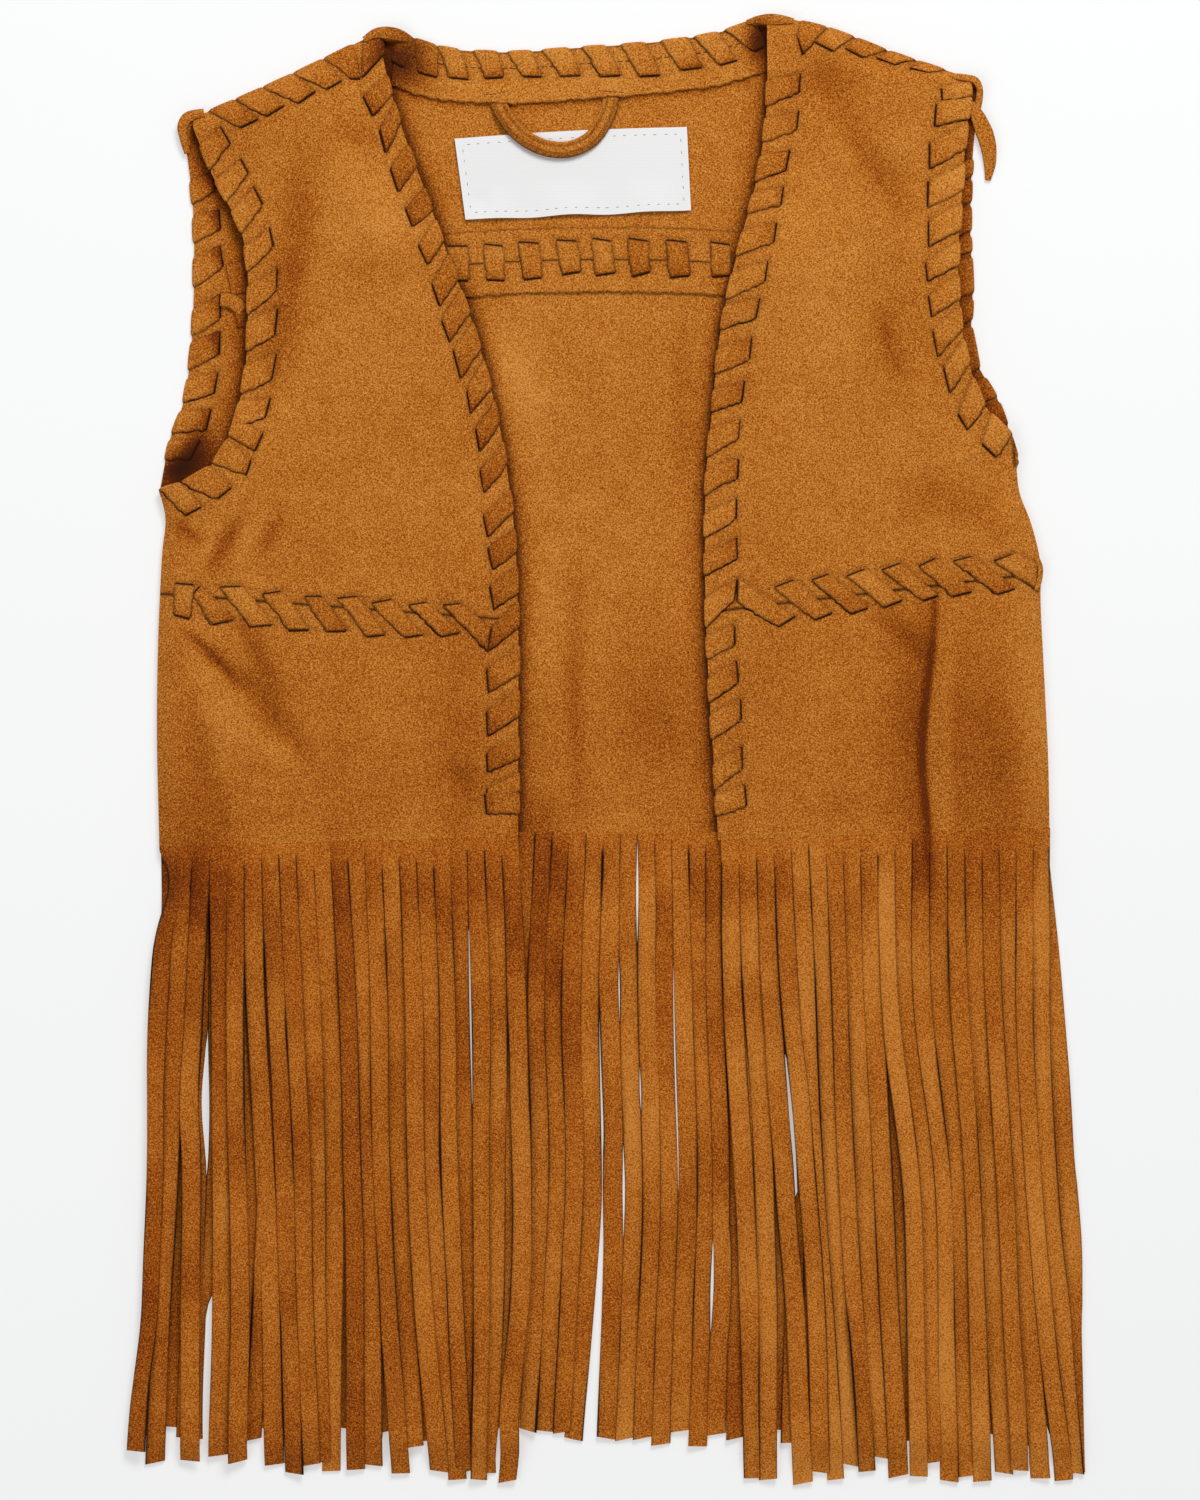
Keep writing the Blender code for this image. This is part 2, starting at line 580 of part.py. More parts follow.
def laces():
    def on_back(x, h):
        return CLOTH + LACE_GAP

    def on_table(x, h):
        return SEAM_GAP

    def on_trim(x, h):
        return ON_TRIM

    for side, cut in (("left", LEFT), ("right", RIGHT)):
        lines = FRONT[side]

        def under(x, h, side=side):
            return front_height(side, x, h) - LACE_GAP - LACE

        def over(x, h, side=side):
            return front_height(side, x, h) + CLOTH + LACE_GAP

        edge_lace(f"lace_{side}_opening", lines["opening"], cut.turn, OPENING_LACE[side], under, over, True)
        edge_lace(f"lace_{side}_armhole", lines["armhole"], -cut.turn, ARMHOLE_LACE[side], under, over, True)
        edge_lace(f"lace_{side}_shoulder", lines["shoulder"], -cut.turn, SHOULDER_LACE[side],
                  on_table, over, False)
        edge_lace(f"lace_{side}_back_armhole", BACK[side], -cut.turn, BACK_ARMHOLE_LACE[side],
                  on_table, on_back, False)
        outer = above(lines["side"], cut.yoke_outer)[0]
        inner = above(lines["opening"], cut.yoke_inner)[0]
        seam = straight(outer, inner) if side == "left" else straight(inner, outer)
        seam_lace(f"lace_{side}_yoke", seam, YOKE_LACE[side], over)
    edge_lace("lace_neck", BACK["neck"], -1, NECK_LACE, on_table, on_trim, False)
    seam_lace("lace_back_yoke", back_seam(), BACK_YOKE_LACE, on_trim)


def fringe(name, row, hem_z, level):
    """Strands side by side from a strip just below the hem, settling to their own level."""
    pitch = (row.root_right - row.root_left) / row.count

    def share(x):
        return (x - row.root_left) / (row.root_right - row.root_left)

    def root_h(x):
        return row.root_h_left + (row.root_h_right - row.root_h_left) * share(x)

    def loop(x):
        h = root_h(x)
        z = hem_z(x, h + FRINGE_STRIP + SEAM_GAP)
        top = h + FRINGE_STRIP
        return ((x, top, z), (x, h, z), (x, h, z + FRINGE_CLOTH), (x, top, z + FRINGE_CLOTH))

    xs, teeth = [], {}
    for number in range(row.count):
        left = row.root_left + pitch * number + STRAND_GAP / 2
        right = left + pitch - STRAND_GAP
        xs += [left, right]
        t = (number + 0.5) / row.count
        drift = (row.tip_left - row.root_left) * (1 - t) + (row.tip_right - row.root_right) * t
        tip_h = row.tip_h_left + (row.tip_h_right - row.tip_h_left) * t
        tip_h += STRAND_RAGGED * math.sin(RAGGED_TURNS[0] * number) * math.cos(RAGGED_TURNS[1] * number)
        rings = []
        for f in STRAND_STATIONS:
            sway = STRAND_SWAY * math.sin(SWAY_TURN * f + SWAY_SHIFT * t) * f
            h = root_h(left) + (tip_h - root_h(left)) * f
            settle = ease(f / STRAND_STATIONS[1])
            a, b = left + drift * f + sway, right + drift * f + sway
            low_a = hem_z(left, root_h(left)) * (1 - settle) + level * settle
            low_b = hem_z(right, root_h(right)) * (1 - settle) + level * settle
            rings.append(((a, h, low_a), (a, h, low_a + FRINGE_CLOTH),
                          (b, h, low_b + FRINGE_CLOTH), (b, h, low_b)))
        teeth[2 * number, 1] = rings
    comb(name, [loop(x) for x in xs], teeth, SUEDE_FRINGE)


def fringes():
    fringe("fringe_back", FRINGES["back"], lambda x, h: FRINGE_LEVEL["back"], FRINGE_LEVEL["back"])
    for side in ("left", "right"):
        def hem_z(x, h, side=side):
            return max(front_height(side, x, h), FRINGE_LEVEL[f"{side}_front"])

        fringe(f"fringe_{side}_front", FRINGES[f"{side}_front"], hem_z, FRINGE_LEVEL[f"{side}_front"])


def hang_loop():
    route = smooth(LOOP_ROUTE, step=1.0)
    total = lengths(route)[-1]
    loops = []
    for s in np.linspace(0.0, total, LOOP_STATIONS):
        x, h, low = along(route, s)
        normal = left_normal(route, s)
        ring = []
        for k in range(LOOP_SIDES):
            angle = 2 * math.pi * (k + 0.5) / LOOP_SIDES
            across = math.cos(angle) * LOOP_WIDTH / 2
            ring.append((x + normal[0] * across, h + normal[1] * across,
                         low + LOOP_HEIGHT / 2 * (1 + math.sin(angle))))
        loops.append(ring)
    comb("hang_loop", loops, {}, SUEDE_LIGHT)


def lace_tail():
    route = smooth(TAIL_ROUTE, step=1.0)
    total = lengths(route)[-1]
    loops = []
    for s in np.linspace(0.0, total, TAIL_STATIONS):
        x, h, low = along(route, s)
        width = np.interp(s / total, np.linspace(0, 1, len(TAIL_WIDTHS)), TAIL_WIDTHS)
        normal = left_normal(route, s) * width / 2
        left, right = (x + normal[0], h + normal[1]), (x - normal[0], h - normal[1])
        loops.append(((*left, low), (*right, low), (*right, low + LACE), (*left, low + LACE)))
    comb("lace_tail", loops, {}, SUEDE_LACE)


def main():
    for leftover in list(bpy.data.objects):
        bpy.data.objects.remove(leftover, do_unlink=True)
    back_panels()
    strip_beside("neck_facing", BACK["neck"], FACING_ENDS, FACING_TOP, FACING_DEPTH)
    strip_beside("back_yoke_turnback", back_seam(), TURNBACK_ENDS, -TURNBACK_DEPTH, -SEAM_GAP / 2)
    strip_beside("back_body_turnback", back_seam(), TURNBACK_ENDS, SEAM_GAP / 2, TURNBACK_DEPTH)
    label()
    hang_loop()
    front_panels("left", LEFT)
    front_panels("right", RIGHT)
    fringes()
    laces()
    lace_tail()


main()
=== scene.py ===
"""Looks of a fringed suede-cloth vest laid flat: panels, laced edges, fringe, label and hang loop.

In plan, x runs across the vest and h runs up it from the hem line. z is the height above the
table. All are millimetres until place() turns them into metres in the frame of the solids.
"""
import math
from collections import namedtuple
from functools import partial

import bmesh
import bpy
import numpy as np
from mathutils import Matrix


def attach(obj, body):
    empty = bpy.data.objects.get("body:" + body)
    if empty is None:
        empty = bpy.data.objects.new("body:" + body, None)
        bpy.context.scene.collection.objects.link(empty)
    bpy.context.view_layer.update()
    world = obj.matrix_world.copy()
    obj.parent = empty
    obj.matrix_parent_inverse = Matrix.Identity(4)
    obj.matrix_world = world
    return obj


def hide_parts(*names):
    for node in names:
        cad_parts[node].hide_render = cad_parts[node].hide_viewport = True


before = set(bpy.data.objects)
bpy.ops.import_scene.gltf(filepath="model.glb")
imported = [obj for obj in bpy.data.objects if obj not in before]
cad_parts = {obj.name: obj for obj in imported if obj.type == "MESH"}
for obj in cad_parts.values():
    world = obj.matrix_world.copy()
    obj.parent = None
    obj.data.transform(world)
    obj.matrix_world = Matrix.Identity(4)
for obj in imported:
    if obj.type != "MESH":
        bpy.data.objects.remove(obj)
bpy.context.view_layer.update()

MM = 0.001
# Where the solids' origin lies in plan
ORIGIN_H = 34.3
# Seeds of what varies: everything that shows, the bars that are hidden, and the lines between strands
SEED = 28
HIDDEN_SEED = 29
LINE_SEED = 30

# Walls, and the air between one layer and the next
CLOTH = 1.2
TRIM = 0.8
LACE = 0.9
LABEL = 0.5
SEAM_GAP = 0.3
TABLE_GAP = 0.05
# Lace round an edge: how far it lifts the cloth, and how far it stands past it
WRAP = 1.3
SHOWN_WRAP = 0.6

# Heights of a front's underside: folded edges lie on the back, laced ones on what is below them
ON_BACK = CLOTH + SEAM_GAP
ON_TRIM = ON_BACK + TRIM + SEAM_GAP
FOLD = ON_BACK
LOW = ON_BACK + WRAP
HIGH = ON_TRIM + WRAP
OVER = HIGH + WRAP
UNDERARM = 5.0
LIFTED = 7.0
MIDDLE = 5.4
# From a rolled edge the cloth rises at once. A laced edge stays flat first.
ROLL_RUN = 11.0
LACED_FLAT = 11.0
LACED_RUN = 16.0

Point = namedtuple("Point", "x h z")
Cut = namedtuple("Cut", "turn side armhole shoulder opening back_armhole "
                        "yoke_outer yoke_inner hem_outer hem_inner")
Crease = namedtuple("Crease", "route left right rise shade")
Bar = namedtuple("Bar", "start_a start_b far_b far_a wraps shown")
Shadow = namedtuple("Shadow", "shade reach dark close")
LaceNap = namedtuple("LaceNap", "all_over by_slot")
Fringe = namedtuple("Fringe", "root_left root_right root_h_left root_h_right "
                              "count layers level slits shade drop_h")
Parting = namedtuple("Parting", "after h width reach")
Bow = namedtuple("Bow", "fringe number h shift reach")
Strip = namedtuple("Strip", "line ends near far lace nap")
Patch = namedtuple("Patch", "x h across along shade")
Noise = namedtuple("Noise", "size detail roughness weight")
Shape = namedtuple("Shape", "points faces dark shade")

# Outlines from the hem upwards, with the height of the cloth's underside at each point. Laced edges
# are given as the lace's outline, and the cloth's own edge lies a wrap inside it. turn is 1 where the
# cloth lies to the right of its rising outer edge.
LEFT = Cut(
    turn=1,
    side=(
        Point(-151.8, -2.0, FOLD), Point(-152.7, 45.0, FOLD), Point(-151.6, 88.0, FOLD),
        Point(-150.8, 102.0, FOLD), Point(-149.8, 113.0, FOLD), Point(-151.6, 121.2, LOW),
    ),
    armhole=(
        Point(-151.8, 123.0, LOW), Point(-144.5, 125.1, UNDERARM), Point(-134.8, 130.6, LIFTED),
        Point(-129.4, 138.7, LIFTED), Point(-124.1, 156.7, OVER), Point(-122.2, 182.0, OVER),
        Point(-124.1, 208.4, OVER), Point(-134.5, 229.2, HIGH), Point(-141.8, 247.6, HIGH),
    ),
    shoulder=(Point(-112.0, 261.6, FOLD),),
    opening=(
        Point(-29.4, -2.0, LOW), Point(-29.4, 40.0, LOW), Point(-29.4, 78.0, LOW),
        Point(-31.1, 112.2, LOW), Point(-36.2, 146.2, LOW), Point(-42.8, 172.0, HIGH),
        Point(-46.9, 185.0, OVER), Point(-54.0, 204.0, OVER), Point(-60.0, 221.0, HIGH),
        Point(-71.9, 255.0, HIGH), Point(-77.2, 278.0, HIGH),
    ),
    back_armhole=(
        Point(-152.2, 123.0, 0.0), Point(-148.4, 141.4, 0.0), Point(-144.7, 151.0, 0.0),
        Point(-142.0, 168.3, 0.0), Point(-140.8, 195.0, 0.0), Point(-141.3, 220.0, 0.0),
        Point(-143.0, 234.9, 0.0), Point(-145.4, 246.6, 0.0),
    ),
    yoke_outer=86.9, yoke_inner=77.9, hem_outer=0.9, hem_inner=4.7,
)
RIGHT = Cut(
    turn=-1,
    side=(
        Point(150.6, -2.0, FOLD), Point(150.0, 31.0, FOLD), Point(148.4, 64.0, FOLD),
        Point(147.4, 86.0, FOLD), Point(147.4, 97.0, FOLD), Point(144.0, 111.5, FOLD),
        Point(140.1, 122.1, FOLD), Point(139.2, 129.5, LOW),
    ),
    armhole=(
        Point(140.4, 134.5, LOW), Point(137.8, 142.0, HIGH), Point(129.7, 149.9, HIGH),
        Point(123.1, 166.9, OVER), Point(120.0, 190.0, OVER), Point(120.0, 204.0, OVER),
        Point(121.2, 222.0, HIGH), Point(122.6, 242.1, HIGH), Point(125.2, 261.4, HIGH),
    ),
    shoulder=(Point(95.0, 272.2, FOLD), Point(75.3, 279.8, FOLD), Point(62.7, 282.8, FOLD)),
    opening=(
        Point(37.6, -2.0, LOW), Point(36.4, 20.4, LOW), Point(34.2, 55.0, LOW),
        Point(32.8, 101.7, LOW), Point(33.4, 130.0, LOW), Point(35.2, 148.6, LOW),
        Point(38.4, 178.0, HIGH), Point(41.0, 191.0, OVER), Point(44.6, 206.0, OVER),
        Point(49.5, 224.0, HIGH), Point(53.2, 246.0, HIGH), Point(53.9, 284.4, HIGH),
    ),
    back_armhole=(
        Point(140.8, 132.0, 0.0), Point(133.0, 154.4, 0.0), Point(126.4, 166.0, 0.0),
        Point(124.6, 178.0, 0.0), Point(125.1, 190.0, 0.0), Point(124.3, 208.0, 0.0),
        Point(124.5, 226.4, 0.0), Point(125.4, 240.0, 0.0), Point(128.0, 260.8, 0.0),
    ),
    yoke_outer=93.8, yoke_inner=80.6, hem_outer=7.7, hem_inner=3.3,
)
CUTS = {"left": LEFT, "right": RIGHT}
NECK = (
    Point(-77.2, 278.4, 0.0), Point(-69.0, 277.4, 0.0), Point(-58.0, 273.7, 0.0),
    Point(-38.3, 271.7, 0.0), Point(-9.0, 273.2, 0.0), Point(19.2, 275.4, 0.0),
    Point(35.5, 277.8, 0.0), Point(46.4, 281.0, 0.0), Point(53.9, 284.6, 0.0),
)
# The back yoke's seam sinks from its middle towards the armholes
BACK_SEAM_H = 200.6
BACK_SEAM_DROP = 15.0
BACK_SEAM_HALF = 141.0
BACK_SEAM_POINTS = 81
BACK_HEM_H = 6.0

# Creases: a ridge, or a trough where the rise is negative, with its width to the left and right of
# its route, and the painted shade that goes with it, which is a painted highlight where it is negative
CREASES = {
    "left": (
        Crease(((-134, 67), (-121, 56), (-111, 44), (-99, 28)), 3.6, 4.4, -1.05, 0.20),
        Crease(((-142.5, 74.5), (-136, 68.7), (-125, 57)), 1.3, 1.9, -0.50, 0.32),
        Crease(((-136, 63), (-126, 41), (-101, 29)), 7.6, 7.6, 0.81, -0.10),
        Crease(((-146, 69), (-140, 47), (-134.5, 25), (-128.5, 4)), 2.8, 7.2, -0.90, 0.10),
        Crease(((-124, 78), (-117.5, 65), (-110, 51)), 4.0, 3.6, -0.63, 0.20),
        Crease(((-52, 27), (-47, 24), (-43, 20)), 4.3, 4.3, -0.45, 0.10),
        Crease(((-124, 113), (-130, 103.5), (-134, 95)), 2.8, 2.2, -0.75, 0.24),
        Crease(((-110, 115), (-114, 107), (-117.5, 99)), 3.2, 2.6, -0.55, 0.15),
        Crease(((-147, 111.5), (-142, 107.5), (-137, 105)), 2.2, 2.4, -0.65, 0.24),
        Crease(((-134, 110), (-136, 102), (-141, 96)), 3.4, 3.0, 0.60, -0.08),
        Crease(((-117, 113), (-122, 104), (-126, 95)), 3.2, 3.2, 0.55, -0.07),
        Crease(((-101, 236), (-105, 206), (-110, 180), (-113, 158)), 5.4, 7.0, -0.81, 0.18),
        Crease(((-92, 247), (-85, 243), (-78, 238)), 5.5, 5.5, -0.54, 0.12),
        Crease(((-91, 196), (-77, 198), (-63, 201)), 8.0, 8.0, -0.45, 0.09),
        Crease(((-82, 236), (-74, 216), (-72, 190)), 11.9, 11.9, 0.63, -0.07),
    ),
    "right": (
        Crease(((112, 87), (111, 71), (108.6, 50), (107.5, 35), (107.8, 23), (109.1, 10), (109.5, -8)),
               0.9, 1.9, -1.30, 0.46),
        Crease(((111, 84), (110, 70), (107.6, 50), (106.5, 35), (106.8, 23), (108.1, 10), (108.5, -8)),
               1.6, 9.5, -0.45, 0.17),
        Crease(((116, 74), (115, 31), (115, -4)), 3.2, 6.5, 1.08, -0.10),
        Crease(((91, 81), (101, 73), (110, 63)), 4.3, 4.3, -0.63, 0.17),
        Crease(((130, 51), (137, 17), (134, -4)), 7.6, 7.6, -0.72, 0.10),
        Crease(((66, 264), (74, 260), (83, 257)), 7.6, 7.6, -0.81, 0.15),
        Crease(((79, 250), (89, 234), (100, 216)), 5.6, 3.6, -0.72, 0.15),
        Crease(((93, 181), (95.5, 172), (98, 162)), 3.4, 2.8, -0.45, 0.13),
        Crease(((97, 197), (98, 175), (100, 153)), 9.7, 9.7, -0.54, 0.07),
        Crease(((101, 122), (118, 118), (134, 112)), 8.6, 8.6, -0.72, 0.13),
        Crease(((56, 231), (68, 205), (79, 177)), 13.0, 13.0, 0.54, -0.05),
        Crease(((66, 62), (68, 38), (70, 14)), 16.2, 16.2, 0.63, -0.04),
    ),
    "back": (
        Crease(((-10, 99), (-11, 51), (-9, 10)), 3.2, 3.2, -0.41, 0.12),
        Crease(((26, 177), (26, 150), (25, 126)), 4.3, 4.3, -0.36, 0.10),
        Crease(((-33, 177), (-30, 160), (-26, 143)), 10.8, 10.8, 0.27, -0.12),
        Crease(((-21, 99), (-22, 75), (-23, 51)), 6.5, 6.5, 0.36, -0.07),
        Crease(((15, 71), (17, 48), (18, 24)), 15.1, 15.1, -0.27, 0.10),
    ),
}

# Lace bars as they lie: two corners at the edge, or at the upper slot of a seam, then the two at the far end
BAR_CORNERS = {
    "lace_left_opening": (
        ((-75.7, 262.5), (-72.6, 256.4), (-79.4, 249.2), (-82.5, 255.7)),
        ((-71.2, 254.0), (-68.9, 247.2), (-75.0, 236.6), (-77.0, 244.8)),
        ((-67.2, 239.0), (-63.8, 232.2), (-70.6, 223.4), (-73.3, 231.5)),
        ((-61.0, 225.1), (-57.3, 217.6), (-65.8, 211.5), (-68.2, 217.9)),
        ((-57.0, 214.2), (-53.6, 207.1), (-60.7, 198.6), (-63.8, 205.4)),
        ((-51.9, 202.6), (-48.8, 194.1), (-56.6, 184.6), (-59.3, 192.1)),
        ((-48.1, 190.4), (-45.1, 182.2), (-53.2, 172.4), (-55.9, 179.9)),
        ((-44.7, 179.2), (-42.3, 170.0), (-49.5, 160.1), (-51.9, 169.7)),
        ((-41.3, 166.3), (-38.2, 156.7), (-46.1, 148.2), (-47.4, 156.1)),
        ((-37.6, 152.7), (-34.9, 145.2), (-43.0, 135.3), (-44.4, 143.5)),
        ((-34.9, 138.7), (-32.5, 131.2), (-41.7, 121.4), (-43.0, 129.2)),
        ((-32.5, 122.1), (-30.8, 114.6), (-40.3, 106.4), (-41.7, 113.6)),
        ((-31.5, 108.8), (-30.1, 101.0), (-38.6, 95.2), (-40.3, 102.7)),
        ((-30.8, 96.2), (-29.8, 87.0), (-38.2, 81.6), (-39.6, 89.8)),
        ((-30.1, 84.3), (-29.4, 75.5), (-40.3, 67.3), (-38.9, 75.8)),
        ((-29.8, 69.4), (-29.8, 59.5), (-40.0, 53.4), (-40.6, 61.5)),
        ((-29.8, 54.4), (-29.8, 45.2), (-40.3, 38.8), (-40.6, 47.3)),
        ((-29.8, 38.4), (-29.8, 30.9), (-40.3, 26.5), (-40.6, 33.0)),
        ((-29.8, 26.2), (-29.8, 19.7), (-40.3, 17.7), (-40.6, 20.7)),
        ((-29.8, 19.4), (-29.8, 12.2), (-40.6, 12.2), (-41.3, 19.0)),
    ),
    "lace_right_opening": (
        ((55.6, 261.1), (53.9, 252.3), (65.1, 257.0), (65.8, 263.5)),
        ((54.2, 248.5), (52.9, 240.4), (64.4, 244.5), (65.1, 250.9)),
        ((52.5, 235.3), (50.5, 226.8), (60.7, 230.5), (62.1, 237.3)),
        ((49.8, 222.7), (47.8, 216.2), (59.0, 218.6), (60.0, 225.1)),
        ((46.8, 209.8), (44.7, 201.3), (56.6, 206.0), (57.6, 212.8)),
        ((42.7, 195.5), (40.3, 187.0), (53.6, 192.8), (54.6, 199.6)),
        ((39.6, 184.6), (38.2, 176.8), (50.5, 180.2), (51.9, 187.3)),
        ((37.2, 170.0), (35.9, 161.8), (48.5, 166.6), (49.1, 174.1)),
        ((35.5, 156.4), (34.2, 148.9), (45.7, 152.0), (46.8, 159.1)),
        ((33.8, 142.5), (33.2, 133.6), (44.7, 139.4), (45.4, 146.2)),
        ((33.5, 128.5), (32.8, 120.4), (44.4, 125.8), (44.7, 132.9)),
        ((32.8, 113.9), (32.1, 106.1), (44.0, 112.5), (44.0, 119.3)),
        ((32.1, 101.0), (32.1, 93.2), (44.4, 98.9), (44.0, 106.1)),
        ((32.8, 85.0), (32.8, 75.5), (43.4, 84.7), (44.4, 91.8)),
        ((33.5, 72.4), (33.5, 64.9), (43.4, 69.4), (43.4, 76.2)),
        ((33.8, 58.1), (34.2, 50.0), (44.7, 56.8), (44.0, 64.3)),
        ((34.5, 45.6), (34.9, 37.4), (45.7, 43.9), (45.4, 51.3)),
        ((35.5, 28.9), (36.2, 20.4), (46.1, 27.5), (45.7, 35.4)),
        ((36.9, 18.4), (36.9, 11.6), (47.4, 15.0), (46.8, 22.1)),
    ),
    "lace_neck": (
        ((-70.6, 278.8), (-65.5, 276.8), (-68.9, 265.9), (-72.9, 267.9)),
        ((-64.8, 276.4), (-57.6, 273.7), (-57.6, 262.5), (-64.1, 264.2)),
        ((-57.3, 273.7), (-50.2, 273.0), (-46.8, 261.8), (-53.6, 262.5)),
        ((-45.1, 272.3), (-37.2, 271.3), (-35.2, 262.5), (-41.3, 262.1)),
        ((-33.5, 272.3), (-25.7, 272.0), (-21.9, 262.8), (-28.4, 262.8)),
        ((-21.9, 272.3), (-13.1, 272.7), (-8.7, 263.2), (-15.5, 262.8)),
        ((-8.3, 273.4), (-0.5, 273.7), (4.9, 263.2), (-2.2, 262.8)),
        ((4.9, 273.7), (13.1, 273.4), (18.2, 263.2), (11.1, 262.8)),
        ((18.5, 275.1), (27.7, 276.1), (32.5, 265.9), (25.3, 264.9)),
        ((29.8, 276.1), (37.6, 277.8), (44.4, 268.3), (38.6, 266.6)),
        ((40.0, 278.8), (48.8, 281.5), (53.6, 273.0), (50.2, 271.3)),
    ),
    "lace_left_shoulder": (
        ((-135.5, 252.6), (-126.7, 255.3), (-118.2, 247.9), (-124.3, 245.1)),
        ((-126.0, 255.3), (-117.1, 259.4), (-109.3, 252.6), (-115.4, 248.9)),
        ((-116.8, 259.4), (-107.3, 264.9), (-98.8, 257.4), (-104.6, 253.3)),
        ((-106.9, 264.9), (-97.1, 269.6), (-89.9, 261.1), (-95.0, 258.1)),
        ((-96.4, 269.6), (-86.5, 273.7), (-83.5, 261.8), (-86.9, 261.8)),
        ((-82.1, 274.7), (-75.7, 277.8), (-75.3, 270.0), (-83.1, 262.1)),
    ),
    "lace_right_shoulder": (
        ((66.1, 281.5), (74.6, 279.5), (66.8, 270.0), (64.8, 276.1)),
        ((75.3, 279.1), (83.8, 275.7), (77.0, 271.0), (70.9, 274.0)),
        ((84.8, 275.1), (95.0, 271.7), (87.2, 268.9), (81.1, 272.0)),
        ((96.1, 271.3), (104.9, 268.3), (97.8, 266.6), (91.6, 268.9)),
        ((105.6, 267.9), (114.8, 265.2), (109.3, 264.2), (102.9, 265.5)),
    ),
    "lace_left_armhole": (
        ((-138.6, 238.7), (-135.2, 230.5), (-127.7, 239.4), (-131.1, 245.5)),
        ((-133.1, 226.8), (-129.4, 219.6), (-121.6, 229.5), (-124.3, 234.6)),
        ((-127.7, 216.6), (-124.6, 209.1), (-116.8, 219.0), (-119.9, 225.1)),
        ((-123.6, 205.0), (-122.6, 196.2), (-113.1, 204.7), (-114.4, 211.1)),
        ((-122.6, 191.1), (-122.2, 181.6), (-112.0, 189.7), (-111.7, 197.2)),
        ((-122.2, 179.5), (-122.6, 169.3), (-112.7, 174.4), (-111.7, 183.6)),
        ((-123.3, 164.6), (-124.6, 155.0), (-113.7, 159.5), (-112.0, 168.6)),
        ((-125.6, 152.3), (-127.7, 143.5), (-115.8, 146.5), (-114.1, 153.3)),
        ((-123.6, 145.5), (-127.3, 140.1), (-119.2, 135.3), (-116.5, 141.4)),
        ((-128.4, 139.1), (-134.5, 132.3), (-122.2, 127.2), (-120.5, 132.3)),
        ((-136.5, 131.9), (-144.3, 125.1), (-132.1, 119.0), (-127.0, 123.1)),
        ((-144.7, 124.4), (-151.8, 121.0), (-143.0, 113.6), (-137.2, 116.6)),
    ),
    "lace_right_armhole": (
        ((124.3, 261.8), (125.0, 255.7), (114.1, 254.0), (113.7, 258.7)),
        ((124.3, 255.3), (122.9, 247.9), (111.4, 245.5), (112.0, 253.3)),
        ((122.6, 246.5), (120.9, 238.0), (109.7, 231.2), (109.7, 240.0)),
        ((121.2, 232.9), (120.2, 224.1), (109.0, 218.3), (109.3, 227.1)),
        ((120.2, 219.0), (119.5, 210.1), (109.3, 204.7), (109.3, 213.5)),
        ((119.2, 206.4), (119.2, 198.2), (109.0, 192.8), (108.3, 199.2)),
        ((119.2, 194.8), (119.5, 186.7), (110.3, 180.9), (109.3, 188.0)),
        ((119.9, 184.3), (120.5, 176.5), (112.4, 167.3), (110.7, 176.1)),
        ((120.9, 173.1), (123.6, 165.2), (116.5, 155.0), (114.4, 163.9)),
        ((124.3, 160.5), (128.0, 150.6), (122.6, 142.5), (119.2, 148.2)),
        ((130.4, 147.9), (136.5, 140.8), (132.4, 133.3), (127.3, 138.0)),
    ),
    "lace_left_back_armhole": (
        ((-141.6, 227.1), (-142.3, 219.3), (-132.8, 224.1), (-133.8, 230.5)),
        ((-141.6, 214.9), (-142.0, 206.4), (-131.4, 210.8), (-131.8, 217.6)),
        ((-141.6, 201.3), (-141.6, 191.4), (-130.4, 198.2), (-131.4, 205.4)),
        ((-140.9, 183.6), (-141.3, 174.8), (-131.4, 180.5), (-131.4, 189.0)),
        ((-141.3, 172.4), (-142.3, 163.2), (-131.8, 168.3), (-131.4, 176.5)),
        ((-142.6, 160.1), (-144.7, 152.3), (-133.5, 155.0), (-132.1, 162.5)),
        ((-145.7, 149.3), (-148.1, 141.8), (-136.2, 142.5), (-134.5, 149.9)),
        ((-149.8, 139.4), (-151.5, 132.9), (-141.6, 132.6), (-138.2, 139.4)),
    ),
    "lace_right_back_armhole": (
        ((125.0, 234.6), (124.6, 229.2), (114.4, 225.1), (114.8, 230.5)),
        ((124.6, 227.5), (123.9, 220.3), (113.7, 216.2), (114.4, 223.4)),
        ((123.6, 218.6), (123.9, 210.5), (113.7, 206.4), (113.4, 214.5)),
        ((123.6, 208.4), (123.6, 203.3), (113.4, 199.2), (113.4, 204.3)),
        ((123.9, 201.3), (123.9, 189.4), (113.7, 185.3), (113.7, 197.2)),
        ((124.3, 187.0), (123.9, 180.2), (113.7, 176.1), (114.1, 182.9)),
        ((122.9, 177.5), (125.3, 163.2), (115.1, 159.1), (112.7, 173.4)),
        ((126.7, 159.1), (130.7, 153.0), (120.5, 148.9), (116.5, 155.0)),
        ((131.8, 151.3), (135.8, 144.5), (125.6, 140.4), (121.6, 147.2)),
    ),
    "lace_left_yoke": (
        ((-146.4, 90.4), (-139.9, 89.8), (-141.3, 78.5), (-146.7, 79.9)),
        ((-140.2, 86.7), (-137.9, 89.4), (-126.3, 78.2), (-134.1, 76.5)),
        ((-131.1, 89.1), (-123.9, 89.4), (-113.4, 76.5), (-120.9, 75.8)),
        ((-116.8, 86.7), (-110.3, 87.7), (-100.8, 74.8), (-108.0, 74.5)),
        ((-102.5, 86.0), (-96.4, 86.0), (-87.9, 74.5), (-95.0, 74.1)),
        ((-91.3, 85.3), (-84.5, 86.0), (-75.0, 73.1), (-81.4, 72.4)),
        ((-79.7, 83.6), (-72.9, 85.0), (-62.1, 73.1), (-68.5, 72.1)),
